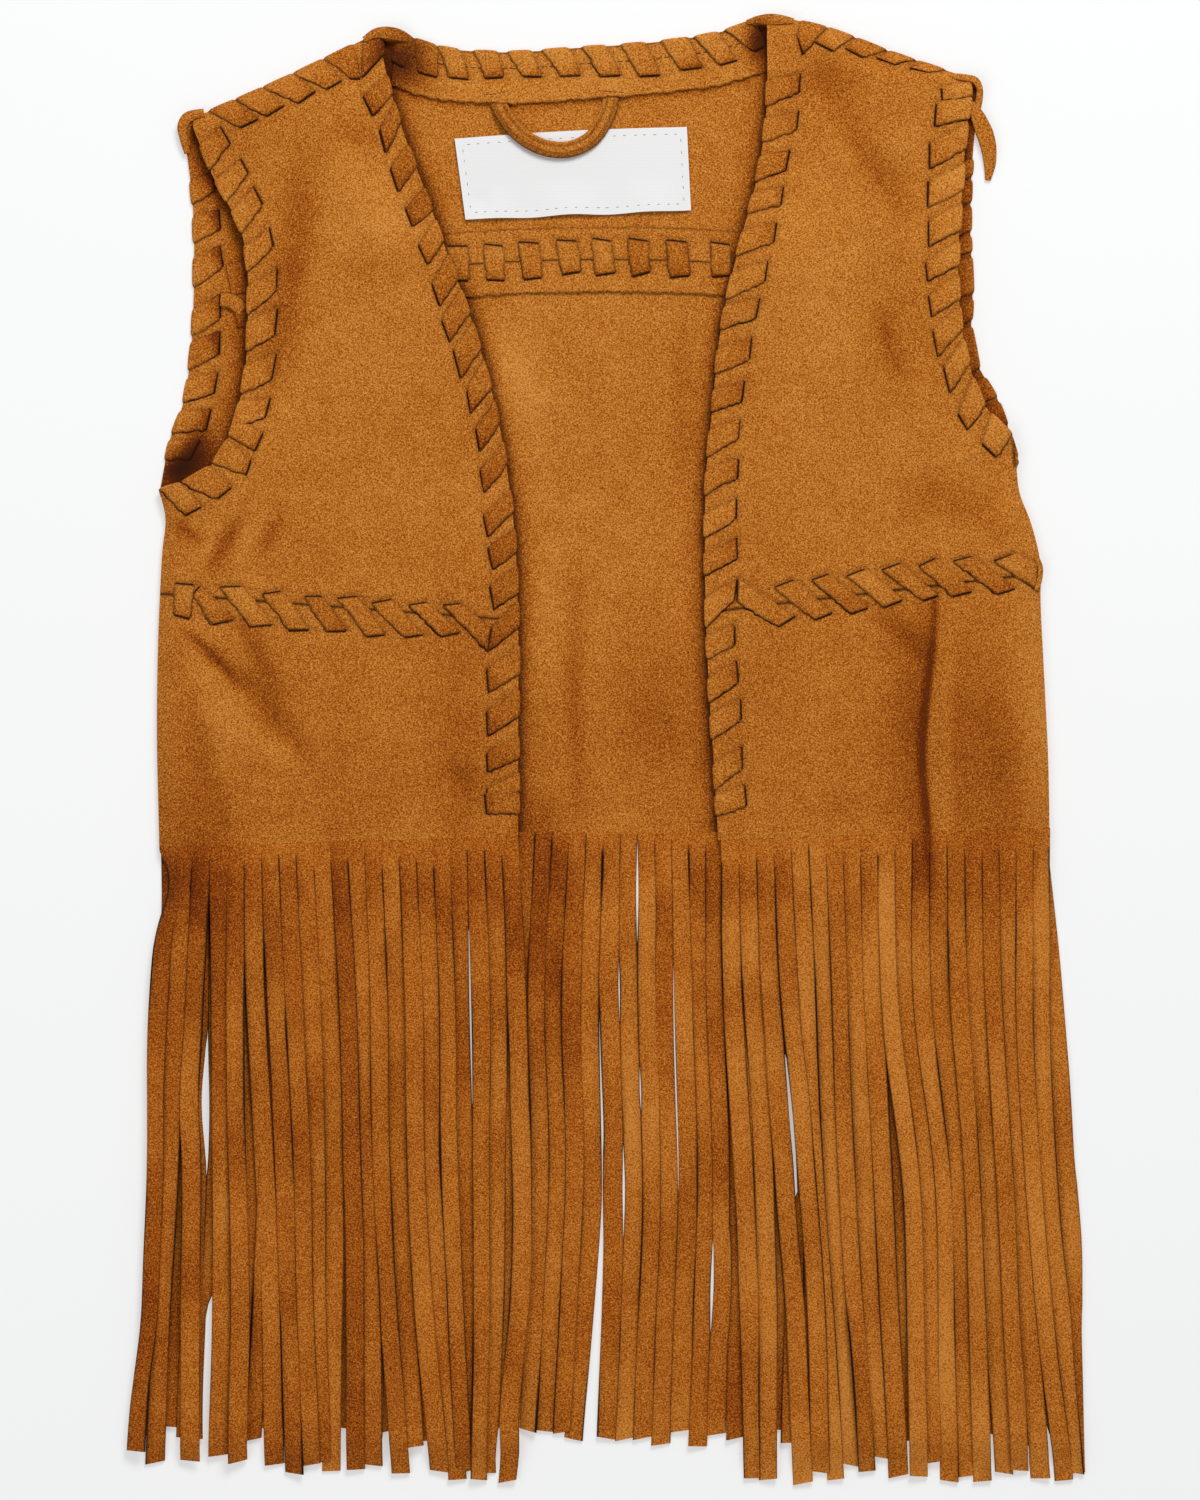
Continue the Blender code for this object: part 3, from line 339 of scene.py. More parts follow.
        ((-67.2, 83.0), (-61.0, 84.0), (-49.8, 73.8), (-56.3, 72.4)),
        ((-55.6, 83.0), (-49.1, 83.6), (-39.6, 74.8), (-40.3, 67.3)),
    ),
    "lace_right_yoke": (
        ((44.4, 84.3), (44.7, 91.8), (63.8, 79.2), (58.3, 75.8)),
        ((57.0, 89.1), (63.4, 91.5), (76.7, 80.6), (70.6, 78.2)),
        ((69.5, 91.5), (75.3, 93.5), (88.9, 82.3), (82.8, 80.2)),
        ((81.4, 92.8), (87.6, 95.2), (100.1, 84.7), (94.0, 82.3)),
        ((93.3, 94.9), (99.5, 97.2), (112.4, 86.4), (107.3, 84.7)),
        ((105.9, 96.2), (111.7, 98.9), (123.9, 87.7), (117.1, 86.0)),
        ((117.5, 97.9), (123.9, 99.6), (138.6, 88.7), (132.4, 86.7)),
        ((131.4, 97.9), (138.2, 100.6), (146.4, 97.6), (146.0, 88.4)),
    ),
    "lace_back_yoke": (
        ((-66.8, 205.0), (-60.0, 205.0), (-59.0, 193.8), (-65.8, 193.5)),
        ((-54.2, 205.0), (-47.1, 205.0), (-46.8, 193.5), (-53.2, 193.5)),
        ((-41.7, 205.7), (-35.2, 205.0), (-34.5, 193.5), (-40.6, 193.8)),
        ((-30.1, 206.4), (-23.0, 206.0), (-21.9, 194.5), (-28.1, 193.8)),
        ((-17.2, 207.1), (-10.0, 206.7), (-8.7, 196.5), (-15.1, 195.5)),
        ((-4.9, 207.7), (1.5, 206.7), (2.9, 196.2), (-3.6, 195.2)),
        ((7.3, 207.7), (14.1, 206.7), (15.1, 196.5), (8.7, 194.8)),
        ((20.2, 207.1), (27.4, 206.4), (28.4, 195.2), (21.6, 194.5)),
        ((35.2, 206.4), (42.0, 205.4), (42.3, 195.2), (35.9, 194.8)),
        ((47.8, 205.7), (54.6, 204.7), (55.3, 193.8), (48.8, 193.5)),
    ),
}
# Short lengths of lace round a corner: x, h and z along their middle, and their width there
LOOPS = {
    "lace_left_shoulder": (
        ((-142.4, 236.6, 1.6, 2.0), (-143.6, 241.6, 2.2, 2.8), (-143.9, 246.0, 2.6, 3.6),
         (-142.4, 248.6, 3.0, 3.8), (-140.0, 249.6, 3.2, 3.4), (-136.6, 250.4, 3.2, 2.6)),
        ((-82.4, 275.0, 3.6, 2.0), (-78.2, 277.2, 4.4, 3.4), (-73.8, 277.2, 4.4, 4.4),
         (-69.6, 276.4, 3.4, 3.8), (-66.8, 275.4, 2.2, 2.4)),
        ((-81.0, 275.2, 2.6, 2.0), (-77.6, 276.6, 2.4, 3.2), (-73.6, 276.6, 2.0, 4.0),
         (-69.6, 276.0, 1.6, 3.4)),
        ((-142.6, 239.0, 0.6, 2.4), (-143.2, 243.0, 0.8, 3.2), (-142.8, 246.4, 1.0, 3.6),
         (-140.0, 248.6, 1.2, 3.0)),
    ),
    "lace_right_shoulder": (
        ((116.8, 262.9, 3.4, 1.8), (121.9, 262.1, 3.8, 2.4), (125.2, 261.2, 4.0, 2.4),
         (126.6, 258.9, 3.6, 2.2), (126.6, 255.4, 2.8, 2.4), (125.8, 251.6, 2.0, 2.6)),
        ((47.6, 281.0, 2.8, 1.6), (51.0, 281.8, 3.6, 2.6), (55.3, 281.8, 4.4, 4.0),
         (59.4, 281.8, 4.4, 3.2), (63.6, 281.4, 3.6, 1.8)),
        ((49.4, 281.2, 1.8, 2.2), (53.0, 281.6, 2.2, 3.2), (57.0, 281.6, 2.4, 3.4),
         (61.0, 281.4, 2.4, 2.4)),
    ),
    "lace_right_yoke": (
        ((146.0, 99.4, 3.4, 1.6), (147.2, 96.4, 3.0, 1.8), (147.0, 91.8, 3.0, 1.8),
         (146.0, 88.4, 3.4, 1.6)),
    ),
    "lace_left_back_armhole": (
        ((-131.1, 187.0, 1.6, 4.6), (-127.3, 186.4, 2.2, 5.0), (-123.6, 183.4, 1.6, 4.6)),
    ),
}
# The back yoke's bars go on under each front, as far apart as those that show
HIDDEN_PITCH = 12.5
HIDDEN_COUNT = 4

# How the cloth gives way near the middle of a bar: pressed under it, sunk at its slot, with painted shade
# beside both, and sunk and dark at a yoke's seam
BAR_NEAR = 14.0
PRESS = 0.35
PRESS_RUN = 2.2
BESIDE_BAR = 1.2
BESIDE_BAR_DARK = 0.20
SLOT_DEPTH = 0.7
SLOT_HALF = 0.8
SLOT_DARK = 0.28
SEAM_SINK = 0.8
SEAM_HALF = 0.6
SEAM_DARK = 0.85
# The most that a crease or a slot sinks the back's top
BACK_SINK = CLOTH / 2

# Shadow of a front's edge on what lies below it: soft shade and its reach, then the dark line and its reach
BESIDE_FRONT = {"opening": Shadow(0.20, 4.5, 0.70, 1.8), "armhole": Shadow(0.28, 6.0, 0.60, 2.0)}
# Shade along the facing's lower edge, and its reach
FACING_SHADE = 0.16
FACING_SHADE_REACH = 2.2
# Painted shadow where the eye looks into the vest: the neck's corners and the left underarm
GLOOM = (
    Patch(-69.5, 268.5, 9.0, 9.5, 0.95), Patch(52.4, 275.0, 4.5, 6.5, 1.1),
    Patch(-146.0, 128.6, 5.0, 3.8, 1.2), Patch(-141.6, 132.6, 5.4, 4.8, 1.1),
    Patch(-138.0, 139.0, 4.2, 6.0, 0.6),
)
# How much of that painted shadow is a browner tone, and how much is the crevice colour
GLOOM_SHADE = 0.5
GLOOM_DARK = 0.55
# Painted shade in folds, beside the left opening's lace and towards the hem, a painted highlight on the right
# edge's fold, and other darker or paler places: on the panels, then by the fringe's roots and along it
SHADE_AND_TONE_PATCHES = (
    Patch(-143.0, 16.0, 14.0, 34.0, 0.05), Patch(122.0, 34.0, 20.0, 44.0, 0.13),
    Patch(146.5, 46.0, 7.0, 36.0, -0.11), Patch(-50.0, 30.0, 8.0, 44.0, 0.09),
    Patch(-92.0, 226.0, 14.0, 26.0, -0.045), Patch(-90.0, 30.0, 60.0, 40.0, 0.06),
    Patch(75.0, 30.0, 50.0, 45.0, 0.05), Patch(0.0, 30.0, 60.0, 60.0, 0.02),
    Patch(-138.0, -18.0, 15.0, 26.0, 0.26), Patch(-88.0, -10.0, 7.0, 16.0, 0.14),
    Patch(-22.0, -14.0, 9.0, 28.0, 0.30), Patch(76.0, -3.0, 32.0, 9.0, -0.07),
    Patch(131.0, -16.0, 12.0, 12.0, 0.14), Patch(108.0, -6.0, 4.0, 16.0, 0.14),
    Patch(40.0, -90.0, 9.0, 60.0, 0.10), Patch(-150.0, -120.0, 12.0, 70.0, 0.10),
)
# Narrow openings in a front's edge, sunk and darkened as the yoke's seam is, for the painted shadow in them
SLITS = {"left": (), "right": (((138.2, 139.4, 0.0), (138.6, 130.2, 0.0)),)}

# Fringe: strands that follow their own routes, turn a little, and lie over one another
FRINGE_CLOTH = 0.95
STRAND_WIDTH = 6.1
STRAND_OVERLAP = 0.2
FRINGES = {
    "back": Fringe(-151.8, 149.6, 6.0, 6.0, 52, 2, 0.15, (-1.0, 5.0), 0.04, -188.0),
    "left_front": Fringe(-151.9, -30.0, 0.9, 4.7, 21, 3, 2.25, (2.5, 8.5), 0.05, -201.0),
    "right_front": Fringe(38.9, 150.7, 3.3, 7.7, 19, 3, 2.25, (1.5, 8.0), -0.05, -201.0),
}
# Strands by their number from the left: how far aside of its root each lies at two heights and at its
# tip, and the height of the tip. Those between two rows lie between them.
STRAND_LEVELS = (-51.0, -108.8)
STRANDS = {
    "back": (
        (0, -0.8, -1.8, -5.8, -199.0), (22, -2.5, -1.2, -5.2, -197.2), (23, -2.9, -1.5, -5.6, -197.5),
        (24, -2.2, -1.2, -5.6, -197.9), (25, -1.7, -0.8, -8.0, -200.3), (26, -0.8, 0.5, -2.5, -199.9),
        (27, 0.0, 1.5, -2.5, -200.3), (28, 0.3, 1.9, -1.9, -199.9), (29, 0.5, 1.9, -0.9, -202.0),
        (30, 1.2, 2.4, -0.5, -197.5), (31, 0.8, 2.9, -0.2, -202.6), (32, 0.2, 2.2, -0.2, -198.6),
        (33, 0.5, 2.5, 0.8, -199.9), (50, 5.0, 8.6, 11.9, -199.0), (51, 5.4, 9.4, 12.9, -211.8),
    ),
    "left_front": (
        (0, -3.1, -4.8, -11.4, -204.0), (1, -2.8, -5.8, -10.8, -208.2), (2, -2.6, -3.6, -4.3, -207.4),
        (3, 0.4, 0.8, 0.1, -205.7), (4, -0.6, 0.2, 1.1, -207.7), (5, 0.6, 3.8, 7.4, -208.8),
        (6, 1.9, 4.8, 8.2, -211.8), (7, 2.2, 5.3, 8.0, -208.8), (8, 2.2, 4.4, 5.4, -208.1),
        (9, 2.7, 4.4, 2.5, -211.1), (10, 3.3, 4.9, 6.1, -210.5), (11, 2.7, 4.4, 5.9, -209.1),
        (12, 1.9, 3.0, 9.8, -211.8), (13, 2.1, 3.5, 7.7, -202.6), (14, 2.1, 3.6, 10.1, -211.1),
        (15, 2.7, 3.2, 10.7, -213.9), (16, 2.2, 2.9, 7.0, -210.5), (17, 0.8, 2.7, 4.2, -210.8),
        (18, 1.5, 1.8, 1.1, -213.9), (19, 1.8, 1.0, -0.9, -211.8), (20, 2.5, 4.2, -0.6, -214.5),
    ),
    "right_front": (
        (0, 0.8, 4.9, 8.7, -213.5), (1, 1.8, 5.9, 7.2, -213.9), (2, 2.2, 7.0, 12.9, -215.2),
        (3, 2.8, 8.9, 13.2, -211.5), (4, 2.9, 5.6, 12.4, -213.9), (5, 2.6, 4.8, 12.0, -209.1),
        (6, 1.9, 4.1, 11.9, -211.1), (7, 1.4, 4.2, 10.1, -206.4), (8, 1.5, 4.8, 10.0, -212.8),
        (9, 1.5, 8.3, 11.0, -212.8), (10, 0.9, 8.2, 9.5, -208.1), (11, 0.6, 7.4, 8.8, -214.5),
        (12, 1.2, 6.3, 9.7, -212.8), (13, 1.5, 5.5, 8.6, -214.5), (14, 1.4, 4.8, 10.9, -211.8),
        (15, 1.3, 5.0, 9.8, -210.8), (16, 0.2, 3.6, 11.4, -213.5), (17, 0.0, 2.4, 14.0, -214.2),
        (18, 0.0, 2.0, 12.0, -211.8),
    ),
}
# Where the table shows between a strand and the next one: the layers below part there as well
PARTINGS = {
    "back": (
        Parting(27, -15.0, 0.8, 13.0), Parting(26, -48.0, 0.5, 8.0), Parting(25, -104.0, 0.7, 34.0),
        Parting(27, -81.6, 0.5, 6.0), Parting(29, -78.0, 0.4, 30.0), Parting(26, -115.6, 0.8, 12.0),
        Parting(31, -148.0, 0.9, 12.0), Parting(50, -134.0, 1.6, 18.0),
    ),
    "left_front": (
        Parting(17, -56.0, 0.6, 26.0), Parting(2, -86.0, 2.4, 17.0), Parting(2, -184.0, 1.8, 24.0),
        Parting(19, -206.0, 1.5, 8.0),
    ),
    "right_front": (Parting(2, -93.5, 1.1, 20.0), Parting(16, -208.0, 1.5, 8.0)),
}
# Strands that bow aside, and over what reach
BOWS = (
    Bow("left_front", 0, -12.0, 3.9, 12.0), Bow("left_front", 0, -162.0, 1.8, 20.0),
    Bow("left_front", 2, -84.0, -1.2, 16.0), Bow("right_front", 18, -158.0, 1.0, 22.0),
    Bow("back", 0, -20.0, 1.0, 20.0),
)

# Flat trims inside the back: where they start and end beside their line, how far short of its ends they
# stop, and the facing's paler nap
FACING_TOP = 0.3
FACING_DEPTH = 17.5
FACING_ENDS = (6.5, 4.5)
FACING_NAP = -0.04
TURNBACK_TOP = 0.1
TURNBACK_DEPTH = 11.0
TURNBACK_ENDS = (13.5, 13.0)
# Label: its cut, and its corners in plan with the lower two first
LABEL_SIZE = (79.0, 28.0)
LABEL_CORNERS = np.array((((-47.9, 214.1), (28.7, 217.3)), ((-51.6, 241.6), (27.3, 245.6))))
# Hang loop: the route of its underside, its width, its height in the middle and at its ends, and the run
# between those two
LOOP_ROUTE = (
    Point(-37.6, 257.6, 1.3), Point(-36.6, 253.6, 1.4), Point(-34.6, 249.2, 1.9), Point(-28.7, 242.4, 2.4),
    Point(-20.6, 238.3, 2.5), Point(-12.1, 238.0, 2.5), Point(-5.3, 241.4, 2.4), Point(-0.9, 247.5, 2.0),
    Point(1.0, 252.2, 1.5), Point(1.7, 257.6, 1.3),
)
LOOP_WIDTH = 5.6
LOOP_HEIGHT = 2.5
LOOP_ROOT_HEIGHT = 1.3
LOOP_ROOT_RUN = 9.0
# The facing rises over the loop's ends
LOOP_ROOTS = (Patch(-36.8, 255.0, 4.6, 4.6, 1.3), Patch(1.4, 255.0, 4.6, 4.6, 1.3))
# Loose lace end, with its widths at even shares of its length
TAIL_ROUTE = (
    Point(123.6, 253.6, 2.0), Point(125.6, 250.0, 2.6), Point(127.4, 246.0, 2.4), Point(129.6, 239.4, 2.0),
    Point(130.2, 232.9, 1.2), Point(129.6, 227.5, 0.4),
)
TAIL_WIDTHS = (3.0, 5.0, 6.0, 5.4, 4.1, 1.9)

# Spacing of the cloth's points: fine beside the lace, wider in the middle of a panel
FINE_STEP = 0.7
WIDE_STEP = 0.8
ROW_STEP = 0.85
BACK_STEP = 1.5
FINE_MARGIN = 14.0

# A line's direction at a point is taken over this much of it either way
RUN_REACH = 1.0
# Faces that meet at more than this angle keep a sharp edge
SHARP_EDGE = math.radians(50)


def place(points):
    """Plan points in millimetres as metres about the vest's origin."""
    return (np.asarray(points, float) - (0.0, ORIGIN_H, 0.0)) * MM


# Lines in plan: arrays of rows x, h, z

def smooth(points, step=2.5):
    """A curve through the points, as a line with a row about every step."""
    rows = np.array(points, float)
    runs = np.linalg.norm(np.diff(rows[:, :2], axis=0), axis=1)
    at = np.concatenate(([0.0], np.cumsum(runs)))
    slopes = np.gradient(rows, at, axis=0)
    wanted = np.linspace(0.0, at[-1], max(2, int(at[-1] / step) + 1))
    span = np.clip(np.searchsorted(at, wanted, side="right") - 1, 0, len(at) - 2)
    width = (at[span + 1] - at[span])[:, None]
    t = (wanted - at[span])[:, None] / width
    start, end = rows[span], rows[span + 1]
    return (start * (2 * t ** 3 - 3 * t ** 2 + 1) + slopes[span] * width * (t ** 3 - 2 * t ** 2 + t)
            + end * (3 * t ** 2 - 2 * t ** 3) + slopes[span + 1] * width * (t ** 3 - t ** 2))


def lengths(line):
    """Distances along the line to each of its rows."""
    steps = np.linalg.norm(np.diff(line[:, :2], axis=0), axis=1)
    return np.concatenate(([0.0], np.cumsum(steps)))


def along(line, distance):
    """The rows of x, h, z at distances along the line."""
    at = lengths(line)
    return np.stack([np.interp(distance, at, column) for column in line.T], axis=-1)


def left_normal(line, distance):
    """The unit direction to the left of the line's own, at distances along it."""
    distance = np.asarray(distance, float)
    run = (along(line, distance + RUN_REACH) - along(line, distance - RUN_REACH))[..., :2]
    run /= np.linalg.norm(run, axis=-1, keepdims=True)
    return np.stack([-run[..., 1], run[..., 0]], axis=-1)


def inset(line, distance):
    """The line moved to the right of its own direction."""
    moved = line.copy()
    moved[:, :2] -= left_normal(line, lengths(line)) * distance
    return moved


def crossing(line, h):
    """Where a rising line passes h: the number of the next row, and the point itself."""
    after = int(np.argmax(line[:, 1] > h))
    low, high = line[after - 1], line[after]
    return after, low + (high - low) * (h - low[1]) / (high[1] - low[1])


def above(line, h):
    """The part of a rising line that lies above h."""
    after, start = crossing(line, h)
    return np.vstack([start, line[after:]])


def below(line, h):
    """The part of a rising line that lies below h."""
    after, end = crossing(line, h)
    return np.vstack([line[:after], end])


def straight(start, end):
    return np.array([start, end], float)


def nearest(line, x, h):
    """From points in plan to a line: distance, the line's height there, the share of its length
    gone by, and whether the point lies to the left of it."""
    best = np.full(np.shape(x), np.inf)
    z, share, left = np.zeros_like(best), np.zeros_like(best), np.zeros(np.shape(x), bool)
    at = lengths(line)
    for k, (a, b) in enumerate(zip(line, line[1:])):
        run = b - a
        length2 = max(run[0] ** 2 + run[1] ** 2, 1e-9)
        t = np.clip(((x - a[0]) * run[0] + (h - a[1]) * run[1]) / length2, 0.0, 1.0)
        gap = np.hypot(a[0] + run[0] * t - x, a[1] + run[1] * t - h)
        closer = gap < best
        best = np.where(closer, gap, best)
        z = np.where(closer, a[2] + run[2] * t, z)
        share = np.where(closer, (at[k] + (at[k + 1] - at[k]) * t) / at[-1], share)
        left = np.where(closer, run[0] * (h - a[1]) - run[1] * (x - a[0]) > 0, left)
    return best, z, share, left


def ease(value):
    """From 0 to 1 as the value does, slow at both ends."""
    t = np.clip(value, 0.0, 1.0)
    return t * t * (3.0 - 2.0 * t)


def fade(distance, reach):
    """1 at no distance, falling softly to nothing past the reach."""
    return np.exp(-(distance / reach) ** 2)


# Edges of the cloth

def back_lines():
    left = inset(smooth(LEFT.back_armhole), SHOWN_WRAP)
    right = inset(smooth(RIGHT.back_armhole), -SHOWN_WRAP)
    neck = inset(smooth(NECK), SHOWN_WRAP)

    def shoulder(cut, tip, corner):
        middle = [(p.x, p.h - SHOWN_WRAP, FOLD) for p in cut.shoulder]
        return smooth([(tip[0], tip[1], FOLD), *middle, (corner[0], corner[1], FOLD)])

    return {"left": left, "right": right, "neck": neck,
            "left_shoulder": shoulder(LEFT, left[-1], neck[0]),
            "right_shoulder": shoulder(RIGHT, right[-1], neck[-1])}


def front_lines(cut, back_shoulder):
    """The four edges of one front. Its shoulder lies on the back's, from the front's own tip."""
    armhole = inset(smooth(cut.armhole), cut.turn * SHOWN_WRAP)
    opening = inset(smooth(cut.opening), -cut.turn * SHOWN_WRAP)
    past_tip = (back_shoulder[:, 0] - armhole[-1, 0]) * cut.turn > 0
    shoulder = back_shoulder[past_tip]
    armhole[-1, :2], opening[-1, :2] = shoulder[0, :2], shoulder[-1, :2]
    return {"side": smooth(cut.side), "armhole": armhole, "shoulder": shoulder, "opening": opening}


BACK = back_lines()
FRONT = {side: front_lines(cut, BACK[f"{side}_shoulder"]) for side, cut in CUTS.items()}


def yoke_seam(side):
    """The seam between a front's yoke and body, from left to right."""
    cut = CUTS[side]
    outer = above(FRONT[side]["side"], cut.yoke_outer)[0]
    inner = above(FRONT[side]["opening"], cut.yoke_inner)[0]
    return straight(outer, inner) if side == "left" else straight(inner, outer)


def back_seam_h(x):
    return BACK_SEAM_H - BACK_SEAM_DROP * (x / BACK_SEAM_HALF) ** 2


def back_seam():
    """The back yoke's seam from armhole to armhole."""
    left, right = [BACK[side][len(BACK[side]) // 2, 0] for side in ("left", "right")]
    x = np.linspace(left, right, BACK_SEAM_POINTS)
    return np.stack([x, back_seam_h(x), np.zeros_like(x)], axis=1)


# Surfaces that the pieces lie on

# Along a crease: spacing of its points, share of its depth at its ends, and how soon it fills out
CREASE_STEP = 4.0
CREASE_ENDS = 0.35
CREASE_FILL = 0.7
# Creases start this far in from an edge, and reach their depth over this run
CREASE_CLEAR = 3.0
CREASE_RUN = 17.0


def creases(side, x, h):
    """Rise of the soft creases at points in plan, and their painted shade."""
    rise, shade = np.zeros(np.shape(x)), np.zeros(np.shape(x))
    for crease in CREASES[side]:
        line = smooth([(px, ph, 0.0) for px, ph in crease.route], step=CREASE_STEP)
        distance, _, share, left = nearest(line, x, h)
        depth = CREASE_ENDS + (1 - CREASE_ENDS) * np.sin(np.pi * share) ** CREASE_FILL
        hold = fade(distance, np.where(left, crease.left, crease.right)) * depth
        rise += crease.rise * hold
        shade += crease.shade * hold
    return rise, shade


def crease_shade(side, x, h):
    return creases(side, x, h)[1]


def front_under(side, x, h):
    """Height of a front's underside: level in the middle, down at rolled edges, flat under lace."""
    x, h = np.asarray(x, float), np.asarray(h, float)
    drop, rise, free = np.zeros(x.shape), np.zeros(x.shape), np.ones(x.shape)
    for edge, line in FRONT[side].items():
        distance, z, _, _ = nearest(line, x, h)
        if edge in ("side", "shoulder"):
            hold = np.maximum(0.0, 1.0 - distance / ROLL_RUN) ** 2
        else:
            hold = 1.0 - ease((distance - LACED_FLAT) / LACED_RUN)
        drop = np.maximum(drop, (MIDDLE - z) * hold)
        rise = np.maximum(rise, (z - MIDDLE) * hold)
        free = np.minimum(free, ease((distance - CREASE_CLEAR) / CREASE_RUN))
    return MIDDLE - drop + rise + creases(side, x, h)[0] * free


def front_top(side, x, h):
    return front_under(side, x, h) + CLOTH


def back_top(x, h):
    return CLOTH + np.maximum(creases("back", np.asarray(x, float), np.asarray(h, float))[0], -BACK_SINK)


def trim_top(x, h):
    return back_top(x, h) + SEAM_GAP + TRIM + patched(LOOP_ROOTS, x, h)


def table_top(x, h):
    return np.zeros(np.shape(x))


def beside_fronts(x, h):
    """Shade and darkness on what lies below, beside the laced edges of the fronts."""
    shade, dark = np.zeros(np.shape(x)), np.zeros(np.shape(x))
    for lines in FRONT.values():
        for edge, shadow in BESIDE_FRONT.items():
            gap = nearest(lines[edge], x, h)[0]
            shade = np.maximum(shade, shadow.shade * fade(gap, shadow.reach))
            dark = np.maximum(dark, shadow.dark * fade(gap, shadow.close))
    return shade, dark


# Lace bars in plan

def spot(bar, t, u):
    """A point of a bar: t from one side of it to the other, u from its start to its far end."""
    t, u = np.asarray(t)[..., None], np.asarray(u)[..., None]
    start = bar.start_a + (bar.start_b - bar.start_a) * t
    far = bar.far_a + (bar.far_b - bar.far_a) * t
    return start + (far - start) * u


def snapped(point, line):
    """The point of a line that is nearest to a point in plan."""
    share = nearest(line, np.array(point[0]), np.array(point[1]))[2]
    return along(line, share * lengths(line)[-1])[:2]


def hidden_bars(shown):
    """The bars of the back yoke's seam under the fronts, outwards from the first and last that show."""
    made = []
    for bar, pitch in ((shown[0], -HIDDEN_PITCH), (shown[-1], HIDDEN_PITCH)):
        for k in range(1, HIDDEN_COUNT + 1):
            x = bar.start_a[0]
            shift = np.array((pitch * k, back_seam_h(x + pitch * k) - back_seam_h(x)))
            made.append(Bar(*[corner + shift for corner in bar[:4]], False, False))
    return made


def all_bars():
    """Bars with their start on the cloth's own edge, where they wrap one."""
    edges = {"lace_neck": BACK["neck"]}
    for side in CUTS:
        edges[f"lace_{side}_back_armhole"] = BACK[side]
        for edge in ("opening", "armhole", "shoulder"):
            edges[f"lace_{side}_{edge}"] = FRONT[side][edge]
    made = {name: [] for name in [*BAR_CORNERS, *edges]}
    for name, rows in BAR_CORNERS.items():
        for row in rows:
            corners = [np.array(corner) for corner in row]
            if name in edges:
                corners[:2] = [snapped(corner, edges[name]) for corner in corners[:2]]
            made[name].append(Bar(*corners, name in edges, True))
    made["lace_back_yoke"] += hidden_bars(made["lace_back_yoke"])
    return made


BARS = all_bars()


def under_bars(names, x, h):
    """How far the cloth sinks under bars and at their slots, and the painted shade beside them."""
    sink, dark = np.zeros(x.shape), np.zeros(x.shape)
    for bar in [bar for name in names for bar in BARS[name]]:
        corners = np.array([bar.start_a, bar.start_b, bar.far_b, bar.far_a])
        middle = corners.mean(axis=0)
        near = np.hypot(x - middle[0], h - middle[1]) < BAR_NEAR
        px, ph = x[near], h[near]
        turn = np.sign(np.cross(corners[1] - corners[0], corners[2] - corners[1]))
        outside = np.full(px.shape, -np.inf)
        for a, b in zip(corners, np.roll(corners, -1, axis=0)):
            run = (b - a) / np.linalg.norm(b - a) * turn
            outside = np.maximum(outside, (px - a[0]) * run[1] - (ph - a[1]) * run[0])
        bar_sink = PRESS * (1 - ease(outside / PRESS_RUN))
        bar_dark = BESIDE_BAR_DARK * fade(np.maximum(outside, 0.0), BESIDE_BAR)
        for end in ([corners[2:]] if bar.wraps else [corners[2:], corners[:2]]):
            in_slot = fade(nearest(np.column_stack([end, np.zeros(2)]), px, ph)[0], SLOT_HALF)
            bar_sink = np.maximum(bar_sink, SLOT_DEPTH * in_slot)
            bar_dark = np.maximum(bar_dark, SLOT_DARK * in_slot)
        sink[near] = np.maximum(sink[near], bar_sink)
        dark[near] = np.maximum(dark[near], bar_dark)
    return sink, dark


def patched(patches, x, h):
    """Sum of soft patches at points in plan."""
    total = np.zeros(np.shape(x))
    for row in patches:
        total = total + row.shade * np.exp(-((x - row.x) / row.across) ** 2 - ((h - row.h) / row.along) ** 2)
    return total


# Meshes from plan shapes

def joined(shapes):
    """Several shapes as one."""
    points, faces, start = [], [], 0
    for shape in shapes:
        points.append(shape.points)
        faces += [[start + k for k in face] for face in shape.faces]
        start += len(shape.points)
    return Shape(np.vstack(points), faces, np.concatenate([s.dark for s in shapes]),
                 np.concatenate([s.shade for s in shapes]))


def add_piece(name, shape, material):
    """A mesh object at the origin, with how dark and how shaded its points are as attributes: painted shadow
    and shade, with the dark of seams and the cloth's own paler or darker places.
    """
    mesh = bpy.data.meshes.new(name)
    mesh.from_pydata(place(shape.points).tolist(), [], shape.faces)
    for title, values in (("dark", shape.dark), ("shade", shape.shade)):
        attribute = mesh.attributes.new(title, "FLOAT", "POINT")
        attribute.data.foreach_set("value", np.asarray(values, np.float32))
    bm = bmesh.new()
    bm.from_mesh(mesh)
    bmesh.ops.recalc_face_normals(bm, faces=bm.faces[:])
    bm.to_mesh(mesh)
    bm.free()
    mesh.shade_smooth()
    mesh.set_sharp_from_angle(angle=SHARP_EDGE)
    mesh.materials.append(material)
    piece = bpy.data.objects.new(name, mesh)
    bpy.context.collection.objects.link(piece)
    return piece


def shell(x, h, top, bottom, dark, shade):
    """A closed sheet over a grid in plan, between a top and a bottom height. Only its top is shaded."""
    rows, columns = x.shape
    points = np.concatenate([np.stack([x, h, z], axis=-1).reshape(-1, 3) for z in (top, bottom)])
    index = np.arange(rows * columns).reshape(rows, columns)
    upper = np.stack([index[:-1, :-1], index[:-1, 1:], index[1:, 1:], index[1:, :-1]], axis=-1)
    lower = upper[..., ::-1] + rows * columns
    rim = np.concatenate([index[0, :-1], index[:-1, -1], index[-1, :0:-1], index[:0:-1, 0]])
    after = np.roll(rim, -1)
    wall = np.stack([rim, rim + rows * columns, after + rows * columns, after], axis=-1)
    faces = np.concatenate([upper.reshape(-1, 4), lower.reshape(-1, 4), wall]).tolist()
    return Shape(points, faces, *[np.append(values, np.zeros(x.size)) for values in (dark, shade)])


